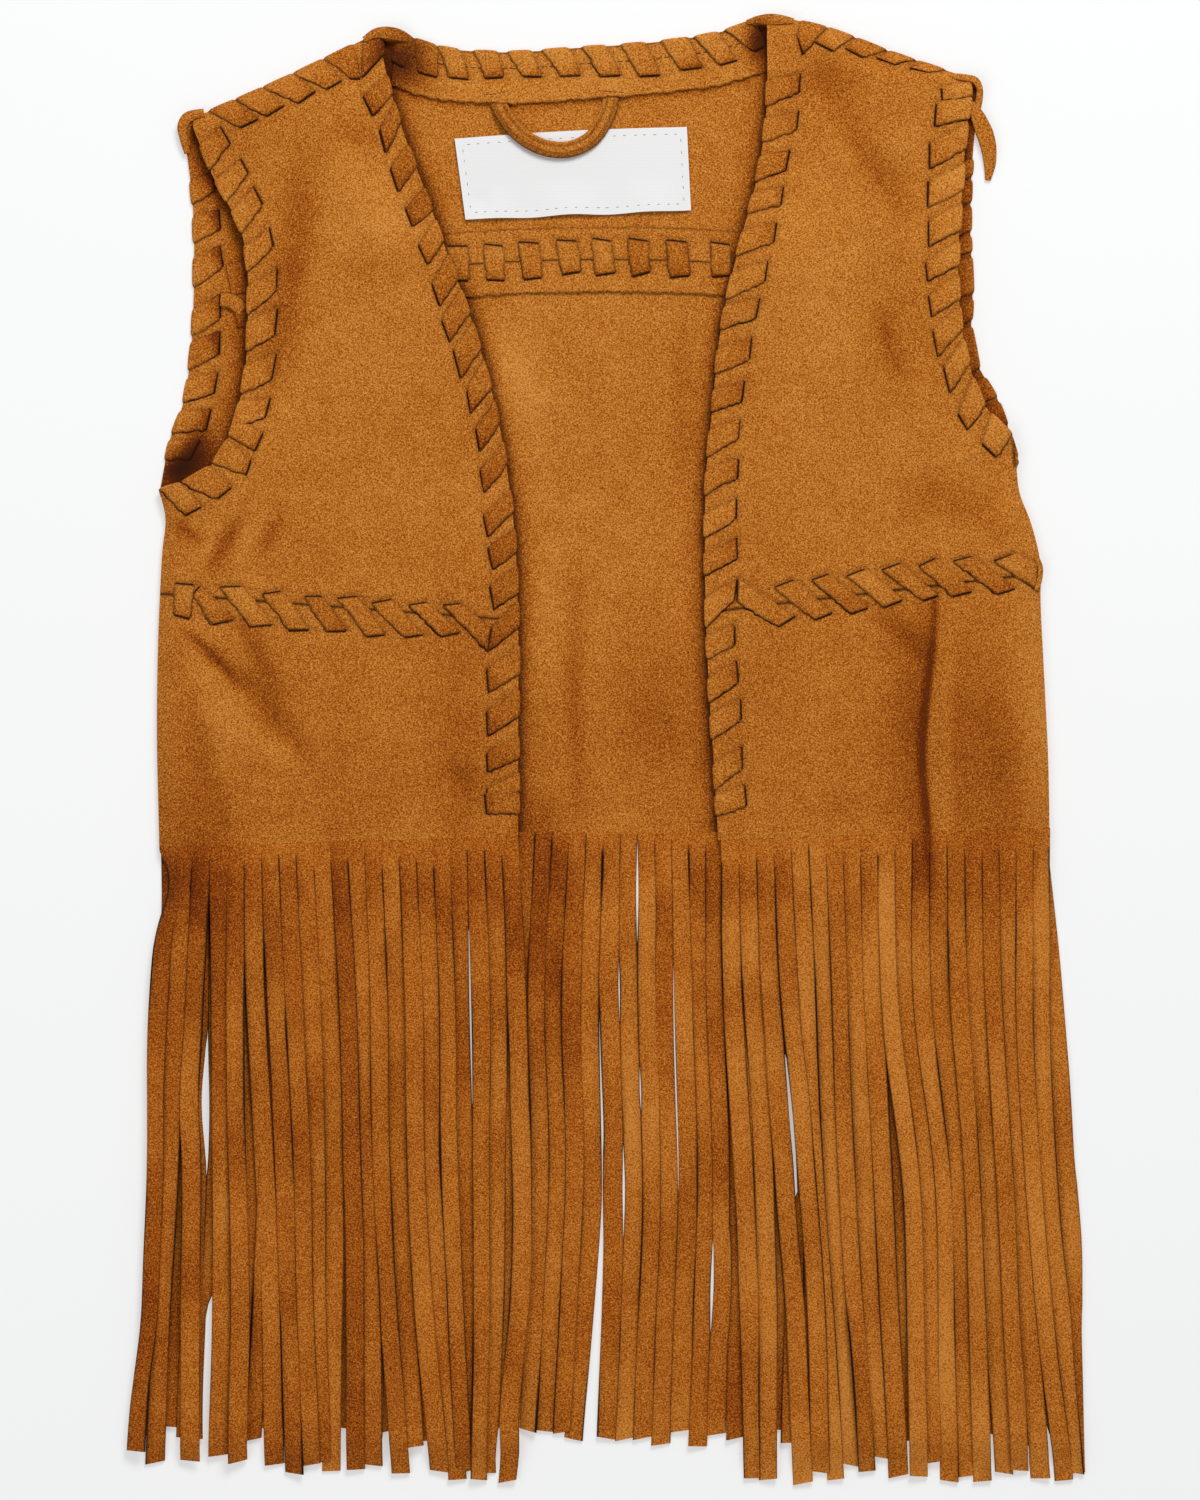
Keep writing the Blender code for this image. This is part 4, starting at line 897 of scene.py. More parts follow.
def tube(rings, dark, shade):
    """A closed tube through rings of points, with capped ends."""
    stations, sides, _ = rings.shape
    index = np.arange(stations * sides).reshape(stations, sides)
    after = np.roll(index, -1, axis=1)
    wall = np.stack([index[:-1], after[:-1], after[1:], index[1:]], axis=-1).reshape(-1, 4)
    faces = [*wall.tolist(), index[0][::-1].tolist(), index[-1].tolist()]
    return Shape(rings.reshape(-1, 3), faces, np.broadcast_to(dark, (stations, sides)).ravel(),
                 np.broadcast_to(shade, (stations, sides)).ravel())


def spaced(length, step, edge_step, margin):
    """Shares of a length: at edge steps within the margin of both ends, and wider between."""
    at = np.array([0.0, margin, length - margin, length])
    count = np.cumsum([0.0, margin / edge_step, (length - 2 * margin) / step, margin / edge_step])
    wanted = np.linspace(0.0, count[-1], int(round(count[-1])) + 1)
    return np.interp(wanted, count, at) / length


def even(length, step):
    return np.linspace(0.0, 1.0, int(round(length / step)) + 1)


def patch(outer, inner, low, high, across, up):
    """Grids of x and h blended between four edge lines, at shares across and up the panel."""
    def at(line, share):
        return along(line, share * lengths(line)[-1])[:, :2]

    u, v = across[None, :, None], up[:, None, None]
    sides = (1 - u) * at(outer, up)[:, None] + u * at(inner, up)[:, None]
    ends = (1 - v) * at(low, across)[None] + v * at(high, across)[None]
    ruled = ((1 - u) * (1 - v) * outer[0, :2] + u * (1 - v) * inner[0, :2]
             + (1 - u) * v * outer[-1, :2] + u * v * inner[-1, :2])
    grid = sides + ends - ruled
    return grid[..., 0], grid[..., 1]


# Materials

def srgb(text):
    """A colour written as sRGB hex, as linear values."""
    channels = [int(text[k:k + 2], 16) / 255 for k in (1, 3, 5)]
    return [c / 12.92 if c <= 0.04045 else ((c + 0.055) / 1.055) ** 2.4 for c in channels] + [1.0]


def add_node(tree, kind, inputs=(), **settings):
    """A node with its settings. Each input is a value, or the output that it is linked to."""
    made = tree.nodes.new(kind)
    for title, value in settings.items():
        setattr(made, title, value)
    for socket, value in dict(inputs).items():
        if isinstance(value, bpy.types.NodeSocket):
            tree.links.new(value, made.inputs[socket])
        else:
            made.inputs[socket].default_value = value
    return made


def new_material(name, values):
    """A material, and its tree and shader. The values are the same all over the surface."""
    material = bpy.data.materials.new(name)
    material.use_nodes = True
    shader = material.node_tree.nodes["Principled BSDF"]
    for title, value in values.items():
        shader.inputs[title].default_value = value
    return material, material.node_tree, shader


# Nap of the suede: tufts drawn a little coarser than the real ones so that they show, then the strokes of
# a hand and wide clouds
NAP = (Noise(0.5, 2.0, 0.7, 1.9), Noise(9.0, 3.0, 0.6, 0.19), Noise(45.0, 2.0, 0.5, 0.14))
# Turned out of the table's plane, because the pattern has straight rows along its own axes
NAP_TURN = (0.55, 0.75, 0.35)
# Strength and height of the tufts' relief
NAP_BUMP = 0.45
NAP_HEIGHT = 0.35
# Tones from parted tufts to raised ones, and their places in that range. Painted shade lowers the tone
# towards the darkest of them
PANEL_TONES = ("#5E2600", "#863C02", "#AA5D12", "#C27928", "#DA984A")
FRINGE_TONES = ("#5A2300", "#833701", "#A9580E", "#C17220", "#D88F40")
TONE_STOPS = (0.0, 0.2, 0.42, 0.58, 0.82)
SUEDE_TONES = {"front": PANEL_TONES, "back": PANEL_TONES, "fringe": FRINGE_TONES, "lace": PANEL_TONES}
# Colour that the dark attribute mixes in: painted shadow in crevices, slots, gaps and hollows, and seams'
# dark
CREVICE_SHADOW_BROWN = "#240D02"
# Rows of the label's threads. The wave pattern has one row to every pi / 10 of its scaled length.
SATIN_ROW = 0.754
SATIN_SCALE = math.pi / 10 / (SATIN_ROW * MM)
SATIN_BUMP = 0.2
SATIN_HEIGHT = 0.08
THREAD_TWIST = 0.4


def brushed_suede(name, tones, crevice):
    """Brushed polyurethane suede: a short nap that scatters light, speckled where its tufts part and cloudy
    where it was stroked. The shade attribute lowers its tone with painted shade (a painted highlight where
    negative), and the dark attribute mixes in painted shadow, as in the crevices beside the lace."""
    material, tree, shader = new_material(name, {
        "Roughness": 0.95, "Specular IOR Level": 0.15, "Sheen Weight": 0.06, "Sheen Roughness": 0.5,
        "Sheen Tint": srgb("#E0A870")})
    unturned = add_node(tree, "ShaderNodeTexCoord").outputs["Object"]
    spot_of = add_node(tree, "ShaderNodeMapping", {"Vector": unturned, "Rotation": NAP_TURN}).outputs[0]
    patterns = [add_node(tree, "ShaderNodeTexNoise", {
        "Vector": spot_of, "Scale": 1 / (noise.size * MM), "Detail": noise.detail,
        "Roughness": noise.roughness}).outputs["Fac"] for noise in NAP]
    tone = 0.5 - 0.5 * sum(noise.weight for noise in NAP)
    for pattern, noise in zip(patterns, NAP):
        tone = add_node(tree, "ShaderNodeMath", {0: pattern, 1: noise.weight, 2: tone},
                        operation="MULTIPLY_ADD").outputs[0]
    shade = add_node(tree, "ShaderNodeAttribute", attribute_name="shade").outputs["Fac"]
    tone = add_node(tree, "ShaderNodeMath", {0: tone, 1: shade}, operation="SUBTRACT").outputs[0]
    ramp = add_node(tree, "ShaderNodeValToRGB", {"Fac": tone})
    stops = ramp.color_ramp.elements
    for position in TONE_STOPS[1:-1]:
        stops.new(position)
    for stop, position, colour in zip(stops, TONE_STOPS, tones):
        stop.position, stop.color = position, srgb(colour)
    dark = add_node(tree, "ShaderNodeAttribute", attribute_name="dark").outputs["Fac"]
    colour = add_node(tree, "ShaderNodeMix", {0: dark, 6: ramp.outputs["Color"], 7: srgb(crevice)},
                      data_type="RGBA").outputs[2]
    bump = add_node(tree, "ShaderNodeBump", {"Height": patterns[0], "Strength": NAP_BUMP,
                                             "Distance": NAP_HEIGHT * MM})
    tree.links.new(colour, shader.inputs["Base Color"])
    tree.links.new(bump.outputs["Normal"], shader.inputs["Normal"])
    return material


def woven_satin(name):
    """Woven polyester satin label: close white threads, smooth to the eye, with a slight gloss."""
    material, tree, shader = new_material(name, {"Roughness": 0.6})
    spot_of = add_node(tree, "ShaderNodeTexCoord").outputs["Object"]
    inputs = {"Vector": spot_of, "Scale": SATIN_SCALE, "Distortion": 0.6, "Detail": 1.0}
    threads = add_node(tree, "ShaderNodeTexWave", inputs, bands_direction="Y").outputs["Fac"]
    ramp = add_node(tree, "ShaderNodeValToRGB", {"Fac": threads})
    ramp.color_ramp.elements[0].color = srgb("#E6E5E5")
    ramp.color_ramp.elements[1].color = srgb("#EBEAEA")
    bump = add_node(tree, "ShaderNodeBump", {"Height": threads, "Strength": SATIN_BUMP,
                                             "Distance": SATIN_HEIGHT * MM})
    tree.links.new(ramp.outputs["Color"], shader.inputs["Base Color"])
    tree.links.new(bump.outputs["Normal"], shader.inputs["Normal"])
    return material


def sewing_thread(name, colour, twist_colour):
    """Spun polyester sewing thread, with the darker tone of its twist."""
    material, tree, shader = new_material(name, {"Roughness": 0.8})
    spot_of = add_node(tree, "ShaderNodeTexCoord").outputs["Object"]
    inputs = {"Vector": spot_of, "Scale": 1 / (THREAD_TWIST * MM), "Detail": 1.0}
    twist = add_node(tree, "ShaderNodeTexNoise", inputs).outputs["Fac"]
    shades = add_node(tree, "ShaderNodeMix", {0: twist, 6: srgb(colour), 7: srgb(twist_colour)},
                      data_type="RGBA")
    tree.links.new(shades.outputs[2], shader.inputs["Base Color"])
    return material


def lit_board(name):
    """White acrylic board lit from below, so that shadows on it stay pale."""
    return new_material(name, {
        "Base Color": srgb("#BDBEBE"), "Roughness": 0.9, "Emission Color": srgb("#FFFFFF"),
        "Emission Strength": 0.44})[0]


# Panels

def front_edges(side, part):
    """Outer, inner, lower and upper edge of a front's body or yoke."""
    cut, lines = CUTS[side], FRONT[side]
    outer, inner = np.vstack([lines["side"], lines["armhole"]]), lines["opening"]
    if part == "body":
        outer = below(above(outer, cut.hem_outer), cut.yoke_outer)
        inner = below(above(inner, cut.hem_inner), cut.yoke_inner)
        return outer, inner, straight(outer[0], inner[0]), straight(outer[-1], inner[-1])
    outer, inner = above(outer, cut.yoke_outer), above(inner, cut.yoke_inner)
    return outer, inner, straight(outer[0], inner[0]), lines["shoulder"]


def back_edges(part):
    """Left, right, lower and upper edge of the back's body or yoke."""
    seam = back_seam()
    if part == "body":
        left = np.vstack([smooth(LEFT.side), BACK["left"]])
        right = np.vstack([smooth(RIGHT.side), BACK["right"]])
        left = np.vstack([below(above(left, BACK_HEM_H), seam[0, 1])[:-1], seam[0]])
        right = np.vstack([below(above(right, BACK_HEM_H), seam[-1, 1])[:-1], seam[-1]])
        return left, right, straight(left[0], right[0]), seam
    left = np.vstack([seam[0], above(BACK["left"], seam[0, 1])[1:]])
    right = np.vstack([seam[-1], above(BACK["right"], seam[-1, 1])[1:]])
    high = np.vstack([BACK["left_shoulder"], BACK["neck"][1:], BACK["right_shoulder"][::-1][1:]])
    return left, right, seam, high


def cut_size(edges):
    """Width, length and area of a panel's cut in plan, in millimetres."""
    outer, inner, low, high = edges
    x, h = np.vstack([low, inner, high[::-1], outer[::-1]])[:, :2].T
    return np.ptp(x), np.ptp(h), abs(x @ np.roll(h, -1) - h @ np.roll(x, -1)) / 2


def front_panel(side, part, material):
    outer, inner, low, high = front_edges(side, part)
    across = spaced(lengths(low)[-1], WIDE_STEP, FINE_STEP, FINE_MARGIN)
    x, h = patch(outer, inner, low, high, across, even(lengths(inner)[-1], ROW_STEP))
    laces = [f"lace_{side}_{edge}" for edge in ("opening", "armhole", "shoulder", "yoke")]
    sink, dark = under_bars(laces, x, h)
    in_seam = fade(nearest(yoke_seam(side), x, h)[0], SEAM_HALF)
    for slit in SLITS[side]:
        in_seam = np.maximum(in_seam, fade(nearest(np.array(slit), x, h)[0], SEAM_HALF))
    under = front_under(side, x, h)
    top = under + CLOTH - np.maximum(sink, SEAM_SINK * in_seam)
    bottom = np.minimum(under, top - CLOTH / 2)
    # The seam's dark line over the painted shade beside the lace; then the creases' painted shade and the
    # patches
    dark = np.maximum(dark, SEAM_DARK * in_seam)
    shade = crease_shade(side, x, h) + patched(SHADE_AND_TONE_PATCHES, x, h)
    return add_piece(f"{side}_front_{part}_cloth", shell(x, h, top, bottom, dark, shade), material)


def back_panel(part, material):
    left, right, low, high = back_edges(part)
    across = spaced(lengths(low)[-1], BACK_STEP, FINE_STEP, FINE_MARGIN)
    up = even(lengths(left)[-1], ROW_STEP if part == "yoke" else BACK_STEP)
    x, h = patch(left, right, low, high, across, up)
    sink, dark = under_bars(["lace_left_back_armhole", "lace_right_back_armhole"], x, h)
    # Painted shadow beside the fronts' edges, under the facing's edge and in the hollows, with the creases'
    # painted shade
    below_edge, below_dark = beside_fronts(x, h)
    gloom = patched(GLOOM, x, h)
    dark = np.maximum(np.maximum(dark, below_dark), GLOOM_DARK * gloom)
    facing_edge = nearest(inset(BACK["neck"], FACING_DEPTH), x, h)[0]
    below_facing = FACING_SHADE * fade(facing_edge, FACING_SHADE_REACH)
    shade = crease_shade("back", x, h) + np.maximum(below_edge, below_facing)
    shade = shade + GLOOM_SHADE * gloom + patched(SHADE_AND_TONE_PATCHES, x, h)
    top = back_top(x, h) - np.minimum(sink, BACK_SINK)
    return add_piece(f"back_{part}_cloth", shell(x, h, top, table_top(x, h), dark, shade), material)


# Trims: how uneven a raw edge is, the painted shade along both edges, and the wall that lace leaves of them
RAW_EDGE = 0.35
TRIM_EDGE_DARK = 0.6
TRIM_LEAST = 0.2


def trims():
    """The strips that lie on the back, each between two distances to the right of a line."""
    seam, lace = back_seam(), "lace_back_yoke"
    return {
        "neck_facing": Strip(BACK["neck"], FACING_ENDS, FACING_TOP, FACING_DEPTH, "lace_neck", FACING_NAP),
        "back_yoke_turnback": Strip(seam, TURNBACK_ENDS, -TURNBACK_DEPTH, -TURNBACK_TOP, lace, 0.0),
        "back_body_turnback": Strip(seam, TURNBACK_ENDS, TURNBACK_TOP, TURNBACK_DEPTH, lace, 0.0),
    }


def trim_strip(node, strip, material, rng):
    """One of the trims. The edge away from its line is raw."""
    line, near, far = strip.line, strip.near, strip.far
    length = lengths(line)[-1]
    s = np.linspace(strip.ends[0], length - strip.ends[1], int(length / FINE_STEP))
    w = np.linspace(0.0, 1.0, int(abs(far - near) / FINE_STEP) + 1)
    reach = np.repeat(near + (far - near) * w[:, None], len(s), axis=1)
    raw_row = 0 if abs(near) > abs(far) else -1
    reach[raw_row] += np.convolve(rng.normal(0.0, RAW_EDGE, len(s)), np.ones(3) / 3, mode="same")
    grid = along(line, s)[None, :, :2] - left_normal(line, s)[None] * reach[..., None]
    x, h = grid[..., 0], grid[..., 1]
    sink, dark = under_bars([strip.lace], x, h)
    # Painted shade along both edges, then painted shadow beside the fronts and in the hollows
    dark[[0, -1]] = np.maximum(dark[[0, -1]], TRIM_EDGE_DARK)
    below_edge, below_dark = beside_fronts(x, h)
    gloom = patched(GLOOM, x, h)
    dark = np.maximum(np.maximum(dark, below_dark), GLOOM_DARK * gloom)
    shade = below_edge + strip.nap + GLOOM_SHADE * gloom
    base = back_top(x, h) + SEAM_GAP + patched(LOOP_ROOTS, x, h)
    top = base + TRIM - np.minimum(sink, TRIM - TRIM_LEAST)
    return add_piece(f"{node}_cloth", shell(x, h, top, base, dark, shade), material)


# Lace

# Across a bar, from its side inwards: distance in, height over the cloth, and darkness of the painted shadow
BAR_RIM = ((-0.42, -0.2, 1.0), (-0.06, 0.06, 1.0), (0.16, 0.28, 0.6), (0.5, 0.42, 0.16), (1.2, 0.52, 0.0))
# Heights of a bar's crown and of its underside over the cloth, and the least depth of its sides
BAR_CROWN = 0.58
BAR_SUNK = -0.45
BAR_LEAST = 0.1
# Painted shadow in the crevice at a bar's side: how dark it is, how much the lower side gains and the upper
# one loses, its least, and how unlike two sides are
SIDE_DARK = 0.62
SIDE_TILT = 0.5
SIDE_LEAST = 0.28
SIDES_VARY = (0.7, 1.1)
# Along a bar the painted shadow in the crevice varies too, and deepens from its start to its slot
CREVICE_VARIES = (0.6, 1.15)
CREVICE_START = 0.8
CREVICE_GAIN = 0.4
# Down into a slot: how far short of the bar's end, share of its height left, darkness of the painted shadow
# there, and how much narrower the bar is. Its end lies a little below the cloth.
DIP = ((1.4, 1.0, 0.0, 0.0), (0.75, 0.95, 0.05, 0.1), (0.35, 0.75, 0.3, 0.35), (0.08, 0.3, 0.95, 0.8),
       (-0.4, 0.0, 1.0, 1.3))
DIP_BELOW = 0.14
# A bar's own bow and wobble, which grow from nothing over a share of its length
BAR_BOW = 0.22
BAR_WOBBLE = 0.16
BAR_STEADY = 0.15
# First row of a bar that wraps an edge, and the spacing of those that follow
BAR_START = 0.3
BAR_STEP = 1.6
# Round an edge: angles of the rings, where the cloth's heights are taken, how far the end is tucked under,
# and the air between lace and edge
WRAP_TURNS = {"tucked": (-1.57, -1.0, -0.5, 0.0, 0.5, 1.0), "on_table": (-0.2, 0.1, 0.4, 0.8, 1.1)}
WRAP_WITHIN = 0.4
WRAP_TUCK = 2.5
WRAP_AIR = 0.1
# Paler or darker tone of a lace all over, which on the left opening is painted shade where it turns from the
# light, then painted shade by its slots; how unlike two bars are, what painted shade each gains along it, how
# much the part by the slot varies, and the share of the bar where that part begins
LACE_TONE_AND_SHADE = {
    "lace_left_opening": LaceNap(0.09, 0.10), "lace_right_armhole": LaceNap(-0.06, 0.08),
    "lace_neck": LaceNap(-0.08, 0.16), "lace_left_back_armhole": LaceNap(0.0, 0.30),
    "lace_back_yoke": LaceNap(0.0, 0.10),
}
LACE_SHADE_ELSEWHERE = LaceNap(0.0, 0.08)
LACE_UNEVEN = 0.035
LACE_SHADE_GAIN = 0.03
SLOT_SHADE_VARIES = (0.4, 1.3)
SLOT_SHADE_FROM = 0.55
# Round a loose length of lace: places across as shares of its half width, heights as shares of its wall,
# and darkness of the painted shade along its edges
RIBBON_RING = np.array((
    (-1.0, 0.35, 0.8), (-0.96, 0.7, 0.3), (-0.8, 0.9, 0.0), (0.0, 1.0, 0.0), (0.8, 0.9, 0.0),
    (0.96, 0.7, 0.3), (1.0, 0.35, 0.8), (0.9, 0.0, 0.0), (-0.9, 0.0, 0.0)))
# Spacing of its route's points, rows along it, and the share of the gloom that reaches it
RIBBON_STEP = 0.8
RIBBON_ROWS = 28
RIBBON_GLOOM = 0.6
TAIL_ROWS = 30


def bar_section(width, aside, rng):
    """Round a bar: shares of its width, heights over the cloth, and darkness. The side that faces down
    the vest lies in shadow, so its crevice is the darker one."""
    rim = np.array(BAR_RIM)
    facing = [np.clip(SIDE_DARK + SIDE_TILT * sign * aside[1], SIDE_LEAST, 1.0) for sign in (1, -1)]
    first, last = [dark * rng.uniform(*SIDES_VARY) for dark in facing]
    t = np.concatenate([rim[:, 0] / width, (0.5,), 1 - rim[::-1, 0] / width, (1.0, 0.0)])
    rise = np.concatenate([rim[:, 1], (BAR_CROWN,), rim[::-1, 1], (BAR_SUNK, BAR_SUNK)])
    dark = np.concatenate([rim[:, 2] * first, (0.0,), rim[::-1, 2] * last, (1.0, 1.0)])
    return t, rise, dark


def bar_rows(bar, length):
    """Along a bar: distance from its start, then the share of height left, darkness and narrowing."""
    rows = [(length - short, *rest) for short, *rest in DIP]
    if not bar.wraps:
        rows = [*DIP, *rows]
    start = BAR_START if bar.wraps else DIP[0][0]
    stop = length - DIP[0][0]
    between = np.linspace(start, stop, int((stop - start) / BAR_STEP) + 2)[0 if bar.wraps else 1:-1]
    rows += [(s, 1.0, 0.0, 0.0) for s in between]
    return np.array(sorted(rows)).T[..., None]


def wrapped(bar, t, rise, run, under, over, wrap):
    """Rings of a bar round the cloth's edge, up to where it comes over the top."""
    edge = bar.start_b - bar.start_a
    out = np.array((edge[1], -edge[0])) / np.linalg.norm(edge)
    out *= -np.sign(out @ run)
    at_edge = spot(bar, t, 0.0)
    within = at_edge - out * WRAP_WITHIN
    low, high = under(within[:, 0], within[:, 1]), over(within[:, 0], within[:, 1])
    rings = []
    if wrap == "tucked":
        rings.append(np.column_stack([at_edge - out * WRAP_TUCK, low - rise]))
    for turn in WRAP_TURNS[wrap]:
        past = math.cos(turn) * (WRAP_AIR + np.maximum(rise, -WRAP_AIR / 2))
        height = (low + high) / 2 + ((high - low) / 2 + rise) * math.sin(turn)
        rings.append(np.column_stack([at_edge + out * past[:, None], np.maximum(height, TABLE_GAP)]))
    return np.array(rings)


def bar_shape(bar, under, over, wrap, nap, rng):
    """One visible stretch of lace: round the edge, over the cloth, and down into its slot."""
    start = spot(bar, 0.5, 0.0)
    reach = spot(bar, 0.5, 1.0) - start
    length = np.linalg.norm(reach)
    run = reach / length
    aside = np.array((-run[1], run[0]))
    aside *= np.sign(aside @ (bar.start_b - bar.start_a))
    width = aside @ (bar.start_b - bar.start_a)
    t, rise, side_dark = bar_section(width, aside, rng)
    s, kept, slot_dark, narrower = bar_rows(bar, length)
    u = s / length
    plan = spot(bar, 0.5 + (t[None] - 0.5) * (1 - narrower / width), u)
    wobble = rng.normal(0.0, BAR_WOBBLE, (len(s), 2))
    bow = rng.normal(0.0, BAR_BOW) * np.sin(np.pi * np.clip(u, 0, 1))
    shift = wobble[:, :1] * (1 - t) + wobble[:, 1:] * t + bow
    plan = plan + aside * (shift * ease(u / BAR_STEADY))[..., None]
    level = over(plan[..., 0], plan[..., 1]) + rise * kept - DIP_BELOW * (1 - kept)
    level[:, -2:] = np.minimum(level[:, -2:], level[:, :1] - BAR_LEAST)
    rings = np.concatenate([plan, level[..., None]], axis=-1)
    # Painted shadow in the crevices along the bar, deeper towards its slot
    strength = rng.uniform(*CREVICE_VARIES, (len(s), 1)) * (CREVICE_START + CREVICE_GAIN * u)
    dark = np.maximum(side_dark * np.clip(strength, 0.0, 1.0), slot_dark)
    if wrap:
        turned = wrapped(bar, t, rise, run, under, over, wrap)
        rings = np.concatenate([turned, rings])
        dark = np.concatenate([np.broadcast_to(side_dark, turned.shape[:2]), dark])
    inner = np.clip(((rings[..., :2] - start) @ run) / length, 0.0, 1.0)
    # The bar's tone, and painted shade that grows towards its slot
    shade = rng.normal(nap.all_over, LACE_UNEVEN) + LACE_SHADE_GAIN * inner
    by_slot = ease((inner - SLOT_SHADE_FROM) / (1 - SLOT_SHADE_FROM))
    shade = shade + nap.by_slot * rng.uniform(*SLOT_SHADE_VARIES) * by_slot
    # Painted shadow in the hollows and beside the fronts' edges
    if wrap == "on_table":
        gloom = patched(GLOOM, rings[..., 0], rings[..., 1])
        dark = np.maximum(dark, GLOOM_DARK * gloom)
        shade = shade + GLOOM_SHADE * gloom + beside_fronts(rings[..., 0], rings[..., 1])[0]
    return tube(rings, dark, shade)


def ribbon(centre, normal, half, gloom):
    """A flat strip with rounded edges and painted shade along them, given its middle, the direction across
    it, its half width and the painted shadow that lies on it."""
    across, up, rim = RIBBON_RING.T
    plan = centre[:, None, :2] + normal[:, None] * (across * half[:, None])[..., None]
    rings = np.concatenate([plan, (centre[:, 2:3] + up * LACE)[..., None]], axis=-1)
    return tube(rings, np.maximum(rim, GLOOM_DARK * gloom[:, None]), GLOOM_SHADE * gloom[:, None])


def loop_shape(route):
    """A short length of lace along its own route."""
    line = smooth(route, step=RIBBON_STEP)
    s = np.linspace(0.0, lengths(line)[-1], RIBBON_ROWS)
    rows = along(line, s)
    gloom = RIBBON_GLOOM * patched(GLOOM, rows[:, 0], rows[:, 1])
    return ribbon(rows[:, :3], left_normal(line, s), rows[:, 3] / 2, gloom)


def lace_piece(node, under, over, wrap, material, rng):
    # The lace's tone, and its painted shade by the slots
    nap = LACE_TONE_AND_SHADE.get(node, LACE_SHADE_ELSEWHERE)
    unseen = np.random.default_rng(HIDDEN_SEED)
    shapes = [bar_shape(bar, under, over, wrap, nap, rng if bar.shown else unseen) for bar in BARS[node]]
    shapes += [loop_shape(route) for route in LOOPS.get(node, ())]
    return add_piece(f"{node}_thong", joined(shapes), material)


def lace_tail_piece(material):
    line = smooth(TAIL_ROUTE, step=RIBBON_STEP)
    s = np.linspace(0.0, lengths(line)[-1], TAIL_ROWS)
    half = np.interp(s / s[-1], np.linspace(0, 1, len(TAIL_WIDTHS)), TAIL_WIDTHS) / 2
    shape = ribbon(along(line, s), left_normal(line, s), half, np.zeros(len(s)))
    return add_piece("lace_tail_thong", shape, material)


# Fringe

# Points along a strand, closer together towards its root
STRAND_STATIONS = 56
STRAND_CROWD = 1.25
# Strands sway, which grows along them, turn, lie in layers, and end at uneven heights on a slant. Each
# EVEN pair says how often random values are evened out along a strand and with its neighbours.
STRAND_SWAY = 0.4
SWAY_GROWS = 0.8
SWAY_EVEN = (40, 2)
STRAND_ROLL = 0.12
ROLL_EVEN = (30, 0)
STRAND_STEP = 1.05
STRAND_RAGGED = 1.6
STRAND_SLANT = 0.8
# How far a half width may be from half of STRAND_WIDTH
NARROWER = 0.15
WIDER = 0.35
# Near the tips, past drop_h, the layers come down to the table
TIP_LEVEL = 0.1
TIP_STEP = 0.35
DROP_RUN = 9.0
# Shares of a strand's length: held at its root, loose in width, turning, coming down, slit open, taking on
# its own nap and its streaks, losing the panel's creases, and the slanted tip
HELD = 0.03
LOOSE_FROM = 0.02
LOOSE_RUN = 0.2
TURN_RUN = 0.25
SETTLE_RUN = 0.28
SLIT_RUN = 0.012
OWN_NAP_RUN = 0.12
STREAK_RUN = 0.05
CREASE_END = 0.15
TIP_FROM = 0.94
# An opening pushes strands aside as soon as it has this share of its width
OPENING_FULL = 0.3
# Round a strand: places across it as shares of its half width, and heights as shares of its cloth
SHOULDER = 0.87
BRINK = 0.97
STRAND_RING = np.array((
    (-1.0, 0.15), (-BRINK, 0.75), (-SHOULDER, 0.98), (-0.78, 1.0), (0.0, 1.04),
    (0.78, 1.0), (SHOULDER, 0.98), (BRINK, 0.75), (1.0, 0.15), (0.0, 0.0)))
# Painted shade that grows towards a strand's edges, up to its shoulders
SHOULDER_DARK = 0.14
# The painted shadow between two strands: its strength, how it deepens and fades along them and within what
# limits, and the strength from which it spreads to the shoulders
LINE_DARK = (0.45, 1.0)
LINE_VARIES = 0.45
LINE_EVEN = (10, 0)
LINE_LIMITS = (0.25, 1.9)
LINE_SPREADS = 0.8
# How unlike the naps of two strands are, then streaks along them as an EVEN pair and a strength
STRAND_UNEVEN = 0.025
STREAKS = (((8, 0), 0.045), ((12, 2), 0.025))
# Painted shade on one side of a strand by its root, where it twists: how much paler or darker it may be, how
# far down, and over what reach
ROOT_TWIST_SHADE = (-0.04, 0.20)
ROOT_TWIST_SHADE_DOWN = 14.0
ROOT_TWIST_SHADE_REACH = 12.0


def smoothed(field, times, beside):
    """Random values evened out along a strand, and with its neighbours."""
    for _ in range(times):
        padded = np.pad(field, ((0, 0), (1, 1)), mode="edge")
        field = (padded[:, :-2] + 2 * padded[:, 1:-1] + padded[:, 2:]) / 4
    for _ in range(beside):
        padded = np.pad(field, ((1, 1), (0, 0)), mode="edge")
        field = (padded[:-2] + 2 * padded[1:-1] + padded[2:]) / 4
    return field / field.std()


